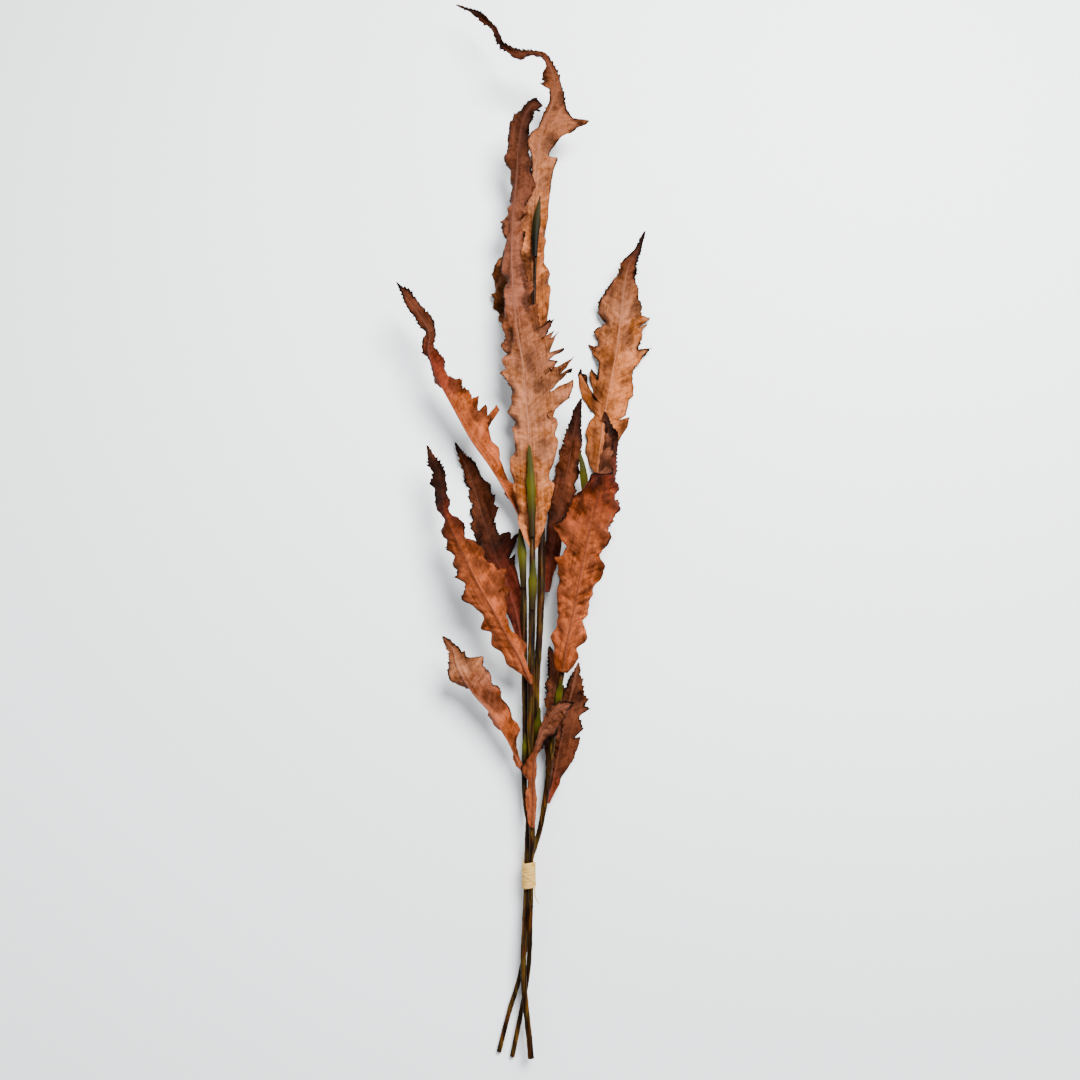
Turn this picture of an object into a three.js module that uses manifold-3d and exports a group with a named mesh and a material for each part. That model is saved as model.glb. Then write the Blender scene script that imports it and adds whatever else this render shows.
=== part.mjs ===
// A tied bunch of three dried stems with long, jagged, curled leaves, lying on a flat surface.
// Millimetres. +Y runs along the stems from the cut ends to the tips, +X is right, +Z is up.
import * as THREE from "three";
import { mergeVertices } from "three/addons/utils/BufferGeometryUtils.js";
import Module from "manifold-3d";

// The bunch is drawn from its cut ends, then moved so that the middle of its box is the origin.
const MIDDLE_X = -4.5;
const MIDDLE_Y = 526.1;

const STEM_SIDES = 8;
const STEM_STEP = 17;
const LEAF_THICKNESS = 0.9;
const SHEATH_THICKNESS = 0.8;
// How strongly a sheath curls round its stem at its foot, in degrees a centimetre.
const SHEATH_CURL = -140;
const GAP = 0.4;

// Side veins leave the rib leaning forward, by this much for each millimetre that they run out,
// where a leaf doesn't give a lean of its own.
const VEIN_LEAN = 0.7;
const LEAST_ROW_STEP = 2;
// A dip of more than this is a notch, and the vein to the lobe behind it passes it by this much.
const NOTCH_DEPTH = 3;
const NOTCH_ROOM = 1;
const MOST_ROW_STEP = 18;
const TIP_HALF_WIDTH = 0.7;
const RUFFLE_LENGTH = 46;

const TIE_TURNS = 8;
const TIE_TURN_WIDTH = 2.8;
const TIE_THICKNESS = 1;
const TIE_SEGMENTS = 20;
const TIE_FOOT = 145.5;
const TIE_HOLE = { x: -0.2, z: 15.5, across: 5.4, high: 6.9 };

const BROWN = 0x3c2a17;
const OLIVE = 0x5f6421;
const STRAW = 0xe6cd92;
const PALE = 0xa5795a;
const ORANGE = 0xbe6432;
const DARK = 0x5c3a28;

// A route is points [x, y, z]. A radius row is [share of the route, radius].
const STEMS = {
  stem_left: {
    routes: [
      {
        points: [
          [2, 2, 14], [-1, 31, 15], [-4, 58, 16.4], [-5, 85, 17], [-3.8, 119, 16], [-2.6, 148, 15.4],
          [-2.4, 171, 15.2], [-1.6, 190, 15.2], [0.2, 225, 16], [3.6, 261, 18], [6.2, 298, 20],
          [7, 336, 22], [9.2, 373, 24], [10.8, 412, 25], [11.6, 451, 25], [10.6, 511, 24], [8, 583, 22],
          [5, 646, 20.5], [4, 720, 22.5], [6, 774, 26], [9, 815, 31],
        ],
        radii: [
          [0, 2.8], [0.12, 2.6], [0.17, 2.3], [0.21, 2.3], [0.28, 2.9], [0.44, 3.1], [0.55, 3.8],
          [0.63, 3.2], [0.75, 2.3], [1, 1.1],
        ],
      },
      {
        points: [
          [-1.8, 205, 15.6], [-4.2, 228, 17.5], [-4.6, 250, 20], [-3.8, 290, 22], [-4.4, 330, 23.4],
          [-5.2, 374, 25], [-5.6, 412, 26], [-6.4, 440, 27], [-7.6, 470, 28], [-9, 493, 28],
        ],
        radii: [[0, 1.6], [0.12, 2.6], [0.45, 2.9], [0.7, 3.1], [0.85, 2.4], [1, 1.2]],
      },
    ],
  },
  stem_middle: {
    routes: [
      {
        points: [
          [-15, 0, 2.2], [-10, 24, 5], [-5, 49, 8], [-0.4, 78, 11.6], [1.2, 119, 16.2], [1.8, 148, 18.6],
          [1.9, 171, 18.6], [2.7, 192, 21.2], [1.8, 226, 24], [1.3, 280, 28], [1.4, 332, 31.5],
          [2.4, 391, 34], [2.7, 458, 36], [2, 497, 37], [0.4, 546, 40],
        ],
        radii: [[0, 2.2], [0.31, 2.2], [0.38, 3], [0.55, 3.4], [0.8, 3.2], [0.9, 2.2], [1, 1.1]],
      },
    ],
  },
  stem_right: {
    routes: [
      {
        points: [
          [-27, 4, 2.2], [-18, 38, 3.2], [-8, 70, 5.5], [-1.4, 109, 9.4], [1.2, 148, 12.2],
          [1.7, 171, 12.2], [5.6, 184, 12.4], [10, 199, 13.4], [14, 220, 16], [18, 248, 19.5],
          [21, 275, 24], [24, 303, 29], [28, 328, 30.5], [35, 364, 28], [44, 412, 24], [51, 458, 20.5],
          [54.6, 505, 22], [51, 545, 27.5],
        ],
        radii: [[0, 2.2], [0.31, 2.3], [0.42, 2.8], [0.55, 3], [0.65, 2.7], [0.8, 2.2], [1, 1.1]],
      },
      {
        points: [[24.6, 306, 29.5], [27, 322, 32.4], [29.4, 336, 35.2]],
        radii: [[0, 1.8], [0.5, 2.1], [1, 1.5]],
      },
    ],
  },
};

// A leaf lies along its rib, whose points are [x, y, z]. Its left and right edges are points
// [along the rib, out from it], lobe tips and notches included. Each row of bends is
// [along, roll, left fold, left curl, right fold, right curl]: a fold is the angle at which a
// half leaves the rib, upwards if positive, and a curl is the turn in each centimetre further out.
const LEAVES = {
  leaf_top: {
    colour: PALE,
    clearOf: ["stem_left"],
    rib: [
      [4, 621, 16.5], [3, 675, 17], [2.4, 723, 19], [2, 777, 22], [3.4, 831, 26], [8.4, 886, 31],
      [17.6, 919, 37], [25, 942, 42], [23.6, 961, 49], [13, 977, 56], [-2, 979, 57], [-15, 980, 56],
      [-26, 993, 52], [-39, 1018, 47], [-54, 1037, 43], [-80, 1052, 40],
    ],
    left: [
      [0, 3], [30, 12], [72, 28], [85, 37], [92, 36], [101, 45], [108, 43], [114, 49], [126, 45], [134, 48],
      [147, 42], [153, 39], [158, 22], [201, 15], [215, 8], [240, 4], [258, 6], [269, 14], [280, 12],
      [288, 6], [318, 4], [324, 6], [335, 16], [340, 9], [349, 12], [358, 6], [373, 9], [379, 6], [388, 10],
      [396, 7], [408, 6], [424, 4.5], [438, 3], [450, 4], [458, 6], [468, 4], [478, 2],
    ],
    right: [
      [0, 3], [40, 11], [73, 15], [102, 17], [133, 21], [140, 12], [157, 13], [190, 16], [212, 16],
      [234, 18], [262, 21], [259, 11], [272, 14], [282, 19], [294, 29], [313, 43], [309, 26], [314, 17],
      [325, 11], [339, 7], [352, 5], [366, 4], [384, 5], [400, 6], [414, 4.5], [432, 3], [448, 3.5],
      [460, 5], [470, 3], [478, 2],
    ],
    bends: [
      [0, 0, -10, 0, 5, 0], [100, 0, -25, 0, 5, -10], [160, 0, -10, -10, 10, -15], [260, 0, 10, -10, 10, -15],
      [320, 8, 20, 20, 0, 0], [350, 0, 20, 25, -10, -15], [380, 0, 35, 25, 10, 0], [420, 0, 30, 20, 25, 15],
      [497, 0, 5, 0, 5, 0],
    ],
  },
  leaf_front_tall: {
    colour: PALE,
    clearOf: ["stem_middle"],
    lean: 0.45,
    rib: [
      [3, 459, 32], [1, 508, 33], [0, 558, 36], [-3, 603, 40], [-7, 643, 44], [-13, 684, 46],
      [-18, 737, 46], [-18, 793, 44], [-14, 850, 43], [-12, 878, 46], [-9.6, 897, 51], [-4, 911, 57],
      [4, 917, 61], [13, 916, 62],
    ],
    left: [
      [0, 3], [9, 8], [23, 12], [47, 14], [72, 18], [99, 18], [108, 14], [121, 15], [131, 17], [142, 24],
      [148, 17], [160, 15], [171, 18], [180, 22], [184, 16], [197, 26], [201, 18], [211, 22], [216, 15],
      [228, 14], [264, 9], [280, 13], [316, 12], [337, 9], [345, 14], [350, 9], [380, 10], [388, 13],
      [392, 10], [412, 11], [420, 14], [428, 11], [444, 11], [460, 9], [470, 6],
    ],
    right: [
      [0, 3], [16, 11], [35, 17], [50, 20], [70, 24], [94, 27], [120, 29], [130, 27], [133, 18], [139, 30],
      [147, 42], [158, 48], [165, 49], [153, 22], [162, 31], [169, 42], [174, 51], [171, 38], [182, 53],
      [176, 27], [182, 36], [184, 28], [192, 37], [198, 42], [194, 27], [207, 35], [215, 40], [205, 29],
      [217, 37], [211, 27], [229, 38], [222, 23], [244, 22], [255, 24], [254, 19], [277, 24], [275, 18],
      [296, 15], [305, 13], [330, 10], [346, 13], [366, 15], [386, 21], [392, 17], [408, 15], [420, 11],
      [434, 9], [448, 10], [462, 8], [472, 6],
    ],
    bends: [
      [0, 0, 30, -35, 30, -30], [90, 0, 26, -32, 28, -28], [125, 0, 5, -20, 8, -10], [170, 0, -8, -12, 0, 6],
      [230, 0, -12, -25, -5, 0], [280, 0, -25, -30, -15, -20], [400, 0, -25, -40, -10, -25], [440, 0, -10, -30, 10, 10],
      [475, 0, -5, 0, 5, 0],
    ],
  },
  leaf_left_high: {
    colour: ORANGE,
    clearOf: ["stem_left"],
    rib: [
      [-11, 495, 25], [-21, 513, 27], [-38, 540, 32], [-58, 568, 38], [-75, 598, 44], [-92, 630, 48],
      [-100, 656, 50], [-99, 672, 52], [-108, 690, 54], [-119, 705, 54], [-133, 727, 52],
    ],
    left: [
      [0, 2], [30, 9], [60, 13], [85, 16], [90, 12], [112, 18], [118, 13], [138, 20], [146, 14], [160, 17],
      [172, 11], [188, 6], [201, 6], [205, 4], [213, 7], [219, 6], [233, 6], [250, 3],
    ],
    right: [
      [0, 3], [21, 8], [44, 11], [54, 15], [76, 17], [92, 23], [104, 39], [101, 27], [115, 34], [111, 22],
      [123, 29], [123, 21], [134, 24], [138, 20], [149, 22], [160, 15], [172, 16], [181, 9], [190, 6], [208, 9],
      [218, 10], [225, 7], [236, 9], [250, 6],
    ],
    bends: [
      [0, 0, -60, 0, -8, -12], [45, 0, -132, 0, -10, -12], [95, 0, -128, 0, -4, 0], [140, 0, -118, 0, -8, -6],
      [185, 0, -60, 0, -20, -18], [215, 0, -20, 0, -20, 0], [266, 0, 0, 0, 0, 0],
    ],
  },
  leaf_right_high: {
    colour: PALE,
    clearOf: ["stem_right"],
    rib: [
      [55, 456, 16.5], [59, 485, 10], [63, 514, 4], [69, 555, 0.4], [76, 604, 0.4], [84, 647, 7], [90, 681, 14],
      [94, 716, 19], [101, 757, 25], [110, 773, 28], [118, 792, 33],
    ],
    left: [
      [0, 2], [40, 3], [91, 4], [99, 9], [110, 14], [130, 16], [144, 14], [152.5, 9], [166, 25],
      [182, 36], [197, 36], [169, 14], [186, 20], [198, 23], [187, 14], [206, 16], [212, 22], [222, 36],
      [225, 23], [234, 28], [242, 28], [250, 17], [260, 28], [265, 24], [280, 20], [290, 14], [308, 8],
      [330, 4],
    ],
    right: [
      [0, 2], [40, 6], [92, 11], [125, 17], [142, 24], [155, 26], [149, 14], [156, 21], [173, 20], [178, 25],
      [198, 21], [209, 23], [230, 35], [225, 20], [237, 24], [252, 29], [247, 21], [262, 34], [262, 24], [271, 24],
      [277, 17], [290, 13], [300, 9], [318, 5], [334, 3],
    ],
    bends: [
      [0, 0, -5, 0, -5, 0], [60, 0, 4, -10, 4, -10], [100, 0, 0, 0, 0, 0], [150, 0, 0, 0, 0, 0],
      [180, 0, 4, -12, 0, -10], [230, 0, -5, -15, 0, -15],
      [300, 0, -20, 0, -22, 0], [347, 0, 0, 0, 0, 0],
    ],
  },
  leaf_back_dark: {
    colour: DARK,
    clearOf: ["stem_left"],
    rib: [
      [17, 420, 21], [22, 462, 17], [29, 500, 16], [36, 534, 18], [41, 562, 21], [45, 586, 24], [51, 613, 29],
    ],
    left: [
      [0, 2], [25, 6], [60, 9], [90, 12], [100, 10], [111, 14], [116, 11], [125, 13], [131, 10], [142, 12], [148, 9],
      [158, 10], [170, 7], [184, 5],
    ],
    right: [
      [0, 2], [30, 7], [70, 10], [105, 12], [111, 9], [124, 13], [130, 10], [140, 12], [146, 9], [157, 10],
      [171, 6], [184, 4],
    ],
    bends: [[0, 0, 10, 0, 10, 0], [60, 0, 18, -20, 18, -20], [130, 0, 22, -25, 18, -25], [196, 0, 0, 0, 0, 0]],
  },
  leaf_right_front: {
    colour: ORANGE,
    clearOf: ["stem_right"],
    rib: [
      [31, 342, 37], [37, 376, 43], [44, 411, 48], [50, 442, 52], [57, 474, 55], [63, 498, 56], [68, 523, 56],
      [73, 551, 53], [76, 574, 50], [73, 593, 48],
    ],
    left: [
      [0, 5], [6, 9], [14, 12], [30, 16], [41, 15], [69, 18], [76, 20], [86, 18], [94, 21], [104, 28],
      [107, 21], [117, 19], [125, 29], [135, 37], [140, 28], [150, 24], [161, 24], [177, 28], [178, 23],
      [190, 28], [196, 25], [206, 27], [211, 23], [220, 24], [226, 18], [236, 14], [246, 6],
    ],
    right: [
      [0, 4], [7, 8], [15, 12], [24, 11], [30, 15], [42, 17], [51, 13], [58, 17], [69, 14], [82, 18],
      [97, 22], [114, 18], [129, 18], [142, 21], [152, 24], [161, 24], [174, 27], [171, 19], [182, 23],
      [192, 17], [203, 18], [212, 13], [224, 12], [241, 5],
    ],
    bends: [
      [0, 0, -20, 0, -20, 0], [40, 0, -14, -6, -14, -6], [130, 0, -8, 5, -10, -10], [165, 0, 8, 20, -12, -12],
      [190, 0, 50, 48, -18, -12], [232, 0, 50, 48, -18, 0], [257, 0, 0, 0, 0, 0],
    ],
  },
  leaf_left_front: {
    colour: ORANGE,
    clearOf: ["stem_middle"],
    rib: [
      [2, 331, 36.5], [-9, 355, 42], [-21, 375, 47], [-36, 402, 51], [-50, 426, 53], [-61, 449, 54], [-72, 471, 52],
      [-81, 493, 49], [-86, 517, 45], [-92, 541, 42], [-100, 561, 42],
    ],
    left: [
      [0, 1.5], [8, 5], [18, 10], [37, 14], [60, 15], [68, 18], [75, 12], [88, 13], [102, 20], [108, 13],
      [113, 10], [120, 16], [126, 12], [138, 16], [144, 11], [153, 13], [157, 8], [170, 11], [176, 8],
      [190, 11], [200, 8], [213, 9], [222, 6], [235, 6], [245, 3],
    ],
    right: [
      [0, 1.5], [8, 5], [20, 9], [39, 11], [57, 10], [72, 13], [84, 17], [90, 25], [94, 20], [108, 34],
      [111, 24], [122, 27], [126, 21], [146, 19], [164, 15], [172, 11], [188, 9], [200, 11], [206, 8],
      [222, 8], [234, 6], [245, 3],
    ],
    bends: [
      [0, 0, -28, 0, -35, 0], [60, 0, -15, -8, -28, -18], [110, 0, -5, 0, -10, -5], [150, 0, -18, -28, -18, -28],
      [200, 0, -38, -45, -38, -40], [255, 0, 0, 0, 0, 0],
    ],
  },
  leaf_left_dark: {
    colour: DARK,
    clearOf: ["stem_left"],
    rib: [
      [-8, 373, 27.4], [-13, 400, 24], [-23, 432, 17], [-35, 462, 9], [-45, 490, 1], [-55, 524, 0.4], [-63, 547, 3],
      [-76, 574, 9],
    ],
    left: [
      [0, 3], [30, 10], [55, 13], [85, 14], [112, 14], [129, 14], [135, 9], [145, 10], [150, 7], [160, 9],
      [166, 5], [175, 7], [182, 5], [198, 4],
    ],
    right: [
      [0, 3], [19, 6], [54, 11], [72, 12], [88, 22], [84, 12], [105, 30], [101, 20], [112, 20], [113, 11],
      [126, 9], [139, 16], [143, 12], [152, 16], [156, 12], [166, 15], [173, 11], [190, 10], [200, 4],
    ],
    bends: [
      [0, 0, -10, 0, -10, 0], [60, 0, 0, -12, 5, -12], [110, 0, -4, -6, 0, -6], [160, 0, -8, -15, -8, -15],
      [215, 0, 0, 0, 0, 0],
    ],
  },
  leaf_left_low: {
    colour: ORANGE,
    clearOf: ["stem_left"],
    rib: [
      [-6.5, 251, 23.5], [-15, 269, 28], [-25, 287, 32], [-37, 305, 35], [-50, 319, 37], [-61, 335, 39],
      [-68, 350, 40], [-71, 362, 41], [-81, 375, 44],
    ],
    left: [
      [0, 2], [20, 6], [50, 10], [80, 11], [100, 10], [108, 11], [116, 13], [122, 9], [130, 5], [142, 3],
    ],
    right: [
      [0, 2], [14, 4], [24, 10], [34, 16], [47, 17], [58, 18], [69, 24], [78, 21], [94, 30], [97, 25], [105, 22],
      [115, 26], [118, 20], [122, 12], [131, 5], [142, 3],
    ],
    bends: [
      [0, 0, -60, 0, -15, 0], [30, 0, -115, 0, -25, -8], [90, 0, -105, 0, -12, -12], [112, 0, -30, 0, 8, -12],
      [149, 0, 0, 0, 0, 0],
    ],
  },
  leaf_front_low: {
    colour: ORANGE,
    clearOf: ["stem_middle"],
    rib: [[3, 201, 27], [4, 226, 31], [4, 253, 35], [7, 276, 39], [15, 294, 42.5], [26, 308, 45.5], [41, 314, 47]],
    left: [
      [0, 2], [10, 8], [20, 9], [34, 9], [45, 9], [54, 12], [60, 7], [77, 5], [98, 5], [106, 6], [116, 5], [125, 3],
    ],
    right: [[0, 2], [17, 4], [38, 5], [51, 6], [73, 6], [88, 8], [95, 12], [106, 14], [116, 12], [124, 5]],
    bends: [
      [0, 0, -20, 0, -30, 0], [50, 0, -28, -15, -60, -20], [85, 0, -35, -30, -35, -30], [131, 0, 0, 0, 0, 0],
    ],
  },
  leaf_right_low: {
    colour: DARK,
    clearOf: ["stem_right"],
    rib: [[17, 222, 12.5], [23, 247, 6], [29, 275, 1], [35, 303, 0.4], [41, 327, 4], [47, 353, 11]],
    left: [[0, 2], [20, 6], [48, 9], [56, 8], [77, 11], [83, 8], [105, 10], [110, 7], [118, 6], [128, 3]],
    right: [
      [0, 2], [13, 5], [25, 8], [35, 11], [42, 13], [55, 18], [68, 21], [65, 13], [72, 18], [80, 18], [86, 14],
      [96, 21], [98, 15], [104, 17], [108, 12], [118, 9], [128, 4],
    ],
    bends: [[0, 0, 0, 0, 0, 0], [60, 0, -5, -8, -5, -16], [135, 0, 0, 0, 0, 0]],
  },
  leaf_back_low: {
    colour: DARK,
    clearOf: ["stem_right", "stem_left"],
    rib: [[18, 236, 14.5], [21, 266, 14], [24, 298, 14], [25, 322, 14], [22, 347, 15], [19, 368, 17]],
    left: [[0, 2], [15, 5], [36, 7], [60, 10], [66, 8], [82, 12], [88, 9], [98, 10], [104, 6], [114, 5], [126, 3]],
    right: [[0, 2], [20, 5], [46, 8], [69, 9], [75, 7], [93, 9], [98, 7], [111, 8], [126, 4]],
    bends: [[0, 0, 10, 0, 10, 0], [60, 0, 18, -18, 18, -18], [135, 0, 0, 0, 0, 0]],
  },
};

// A sheath is a narrow pointed leaf that folds round the front of its stem.
const SHEATHS = {
  sheath_top: { halfWidth: 4.2, rib: [[4.8, 766, 29.2], [5.4, 788, 31.4], [7.2, 810, 34], [10, 830, 36]] },
  sheath_front_tall: { halfWidth: 5, rib: [[2.6, 470, 40.8], [2, 500, 41.6], [1.2, 526, 42.8], [-0.5, 561, 42.6]] },
  sheath_left_high: { halfWidth: 4.6, rib: [[-6, 422, 30.6], [-6.6, 445, 31.6], [-7.8, 463, 32], [-10, 480, 32.6]] },
  sheath_right_high: { halfWidth: 4, rib: [[54.6, 502, 25.8], [54, 520, 27.4], [52, 540, 30.4], [49.4, 556, 32]] },
  sheath_middle: { halfWidth: 4.8, rib: [[2.4, 400, 38.8], [3, 424, 39.8], [4.4, 449, 40.6]] },
  sheath_right_front: { halfWidth: 3.2, rib: [[25, 306, 34.4], [27.4, 320, 36.8], [29.6, 334, 39.8]] },
  sheath_low_right: { halfWidth: 4, rib: [[5.8, 274, 24.6], [7.6, 292, 25.6], [9.4, 310, 27.4]] },
  sheath_low_left: { halfWidth: 2.6, rib: [[-4.6, 260, 24.8], [-4.2, 272, 25.6], [-3.6, 286, 25.8]] },
};

const wasm = await Module();
wasm.setup();

function material(colour, roughness = 0.8) {
  return new THREE.MeshStandardMaterial({ color: colour, roughness, metalness: 0 });
}

function curveThrough(points) {
  return new THREE.CatmullRomCurve3(points.map((p) => new THREE.Vector3(...p)), false, "centripetal");
}

// Reads a table of rows [at, value, ...] at one place, going straight from row to row.
function readTable(rows, at) {
  const next = rows.findIndex((row) => row[0] >= at);
  if (next <= 0) return rows[next === 0 ? 0 : rows.length - 1];
  const [low, high] = [rows[next - 1], rows[next]];
  const share = (at - low[0]) / (high[0] - low[0]);
  return low.map((value, i) => value + (high[i] - value) * share);
}

// Frames along a curve at even steps: the point, the way on, and an upward normal carried along
// without twist.
function framesAlong(curve, count) {
  const frames = [];
  let up = new THREE.Vector3(0, 0, 1);
  for (let i = 0; i <= count; i += 1) {
    const on = curve.getTangentAt(i / count);
    up = up.clone().addScaledVector(on, -up.dot(on)).normalize();
    frames.push({ point: curve.getPointAt(i / count), on, up });
  }
  return frames;
}

function geometryOf(points, triangles) {
  const geometry = new THREE.BufferGeometry();
  geometry.setAttribute("position", new THREE.Float32BufferAttribute(points.flatMap((p) => [p.x, p.y, p.z]), 3));
  geometry.setIndex(triangles);
  return geometry;
}

function solidOf(geometry) {
  const merged = mergeVertices(geometry, 1e-4);
  return new wasm.Manifold(
    new wasm.Mesh({
      numProp: 3,
      vertProperties: merged.attributes.position.array,
      triVerts: new Uint32Array(merged.index.array),
    }),
  );
}

function geometryFromSolid(solid) {
  const { numProp, vertProperties, triVerts } = solid.getMesh();
  const positions = [];
  for (let i = 0; i < vertProperties.length; i += numProp) positions.push(...vertProperties.slice(i, i + 3));
  const geometry = new THREE.BufferGeometry();
  geometry.setAttribute("position", new THREE.Float32BufferAttribute(positions, 3));
  geometry.setIndex(Array.from(triVerts));
  return geometry;
}

// What is left of a solid after a cut, without its loose scraps.
function largestBody(solid) {
  return solid.decompose().reduce((best, body) => (body.volume() > best.volume() ? body : best));
}

// A round stem along a route, whose radius follows a table and which never sinks below the surface.
function stemSolid({ points, radii }, extra = 0) {
  const curve = curveThrough(points);
  const steps = Math.max(4, Math.round(curve.getLength() / STEM_STEP));
  const frames = framesAlong(curve, steps);
  const vertices = [];
  frames.forEach(({ point, on, up }, i) => {
    const across = on.clone().cross(up);
    const radius = readTable(radii, i / steps)[1] + extra;
    for (let side = 0; side < STEM_SIDES; side += 1) {
      const angle = (2 * Math.PI * side) / STEM_SIDES;
      const vertex = point.clone();
      vertex.addScaledVector(across, radius * Math.cos(angle)).addScaledVector(up, radius * Math.sin(angle));
      vertex.z = Math.max(vertex.z, -extra);
      vertices.push(vertex);
    }
  });
  const triangles = [];
  for (let i = 0; i < steps; i += 1)
    for (let side = 0; side < STEM_SIDES; side += 1) {
      const a = i * STEM_SIDES + side;
      const b = i * STEM_SIDES + ((side + 1) % STEM_SIDES);
      triangles.push(a, b + STEM_SIDES, b, a, a + STEM_SIDES, b + STEM_SIDES);
    }
  const last = steps * STEM_SIDES;
  for (let side = 1; side < STEM_SIDES - 1; side += 1) {
    triangles.push(0, side, side + 1);
    triangles.push(last, last + side + 1, last + side);
  }
  return solidOf(geometryOf(vertices, triangles));
}

function wholeStem(name, extra = 0) {
  return STEMS[name].routes.map((route) => stemSolid(route, extra)).reduce((all, one) => all.add(one));
}

// Gives each edge point the place on the rib where its side vein starts: [root, along, out].
// Veins lean forward, and more so where a lobe hangs over the notch in front of it, so that no
// vein crosses the next one.
function withRoots(edge, lean) {
  const roots = edge.map(([along, out]) => along - lean * out);
  for (let i = edge.length - 2; i >= 0; i -= 1) {
    const [along, out] = edge[i];
    const [nextAlong, nextOut] = edge[i + 1];
    roots[i] = Math.min(roots[i], roots[i + 1] - LEAST_ROW_STEP);
    if (nextOut > out - NOTCH_DEPTH) continue;
    const share = nextOut / out;
    roots[i] = Math.min(roots[i], (nextAlong - NOTCH_ROOM - along * share) / (1 - share));
  }
  let last = -LEAST_ROW_STEP;
  return edge.map(([along, out], i) => {
    last = Math.max(last + LEAST_ROW_STEP, roots[i]);
    return [last, along, out];
  });
}

// The rows of a blade: every root of either edge, none too close together or too far apart.
function rowPlaces(edges, length) {
  const roots = edges.flat().map(([root]) => root).sort((a, b) => a - b);
  const places = [0];
  for (const root of [...roots, length]) {
    const gap = root - places[places.length - 1];
    if (gap < LEAST_ROW_STEP * 0.8) continue;
    const extra = Math.floor(gap / MOST_ROW_STEP);
    for (let i = 1; i <= extra; i += 1) places.push(root - gap + (gap * i) / (extra + 1));
    places.push(root);
  }
  return places;
}

// The point of a blade at a place along its rib and a distance out from it (left is negative).
function bladePoint({ curve, frames, length, bends, ruffle }, along, out) {
  const place = THREE.MathUtils.clamp(along / length, 0, 1);
  const { on, up } = frames[Math.round(place * (frames.length - 1))];
  const [, roll, leftFold, leftCurl, rightFold, rightCurl] = readTable(bends, along);
  const side = Math.sign(out) || 1;
  const reach = Math.abs(out);
  const fold = THREE.MathUtils.degToRad(side < 0 ? leftFold : rightFold);
  const curl = THREE.MathUtils.degToRad(side < 0 ? leftCurl : rightCurl) / 10 || 1e-6;
  const aside = (Math.sin(fold + curl * reach) - Math.sin(fold)) / curl;
  const wave = ruffle * (reach / 20) ** 2 * Math.sin((2 * Math.PI * along) / RUFFLE_LENGTH + side);
  const raised = (Math.cos(fold) - Math.cos(fold + curl * reach)) / curl + wave;
  const turned = up.clone().applyAxisAngle(on, THREE.MathUtils.degToRad(-roll));
  const across = on.clone().cross(turned);
  return curve.getPointAt(place).addScaledVector(across, side * aside).addScaledVector(turned, raised);
}

// A thin closed blade: rows run like side veins from the rib to both edges, and the front and
// back faces are split into triangles alike.
function bladeSolid({ rib, left, right, bends, thickness, ruffle = 1, lean = VEIN_LEAN }) {
  const curve = curveThrough(rib);
  const length = curve.getLength();
  const shape = { curve, length, bends, ruffle, frames: framesAlong(curve, 400) };
  const tip = [length, TIP_HALF_WIDTH];
  const edges = [withRoots([...left, tip], lean), withRoots([...right, tip], lean)];
  const rows = rowPlaces(edges, length).map((root) => {
    const [, leftAlong, leftOut] = readTable(edges[0], root);
    const [, rightAlong, rightOut] = readTable(edges[1], root);
    const spots = [
      [leftAlong, -leftOut],
      [(root + leftAlong) / 2, -leftOut / 2],
      [root, 0],
      [(root + rightAlong) / 2, rightOut / 2],
      [rightAlong, rightOut],
    ];
    return spots.map(([along, out]) => bladePoint(shape, along, out));
  });
  for (const point of rows.flat()) point.z = Math.max(point.z, thickness / 2);
  return solidOf(thicken(rows, thickness));
}

function thicken(rows, thickness) {
  const columns = rows[0].length;
  const last = rows.length - 1;
  const front = [];
  const back = [];
  rows.forEach((row, i) =>
    row.forEach((point, j) => {
      const along = rows[Math.min(i + 1, last)][j].clone().sub(rows[Math.max(i - 1, 0)][j]);
      const across = row[Math.min(j + 1, columns - 1)].clone().sub(row[Math.max(j - 1, 0)]);
      const normal = across.cross(along).normalize().multiplyScalar(thickness / 2);
      front.push(point.clone().add(normal));
      back.push(point.clone().sub(normal));
    }),
  );
  const under = front.length;
  const triangles = [];
  const wall = (a, b) => triangles.push(a, a + under, b + under, a, b + under, b);
  for (let i = 0; i < last; i += 1) {
    for (let j = 0; j < columns - 1; j += 1) {
      const a = i * columns + j;
      const [b, c, d] = [a + 1, a + 1 + columns, a + columns];
      triangles.push(a, b, c, a, c, d);
      triangles.push(a + under, c + under, b + under, a + under, d + under, c + under);
    }
    wall((i + 1) * columns, i * columns);
    wall(i * columns + columns - 1, (i + 1) * columns + columns - 1);
  }
  for (let j = 0; j < columns - 1; j += 1) {
    wall(j, j + 1);
    wall(last * columns + j + 1, last * columns + j);
  }
  return geometryOf([...front, ...back], triangles);
}

function leafSolid({ clearOf, ...leaf }) {
  const blade = bladeSolid({ ...leaf, thickness: LEAF_THICKNESS });
  return largestBody(clearOf.reduce((left, stem) => left.subtract(wholeStem(stem, GAP)), blade));
}

function sheathSolid({ rib, halfWidth }) {
  const length = curveThrough(rib).getLength();
  const edge = [
    [0, halfWidth * 0.6],
    [length * 0.3, halfWidth * 0.85],
    [length * 0.6, halfWidth],
    [length * 0.85, halfWidth * 0.5],
  ];
  const wrap = (share, strength) => [length * share, 0, 0, SHEATH_CURL * strength, 0, SHEATH_CURL * strength];
  const bends = [wrap(0, 1), wrap(0.6, 0.7), wrap(1, 0)];
  return bladeSolid({ rib, left: edge, right: edge, bends, thickness: SHEATH_THICKNESS, ruffle: 0 });
}

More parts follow.
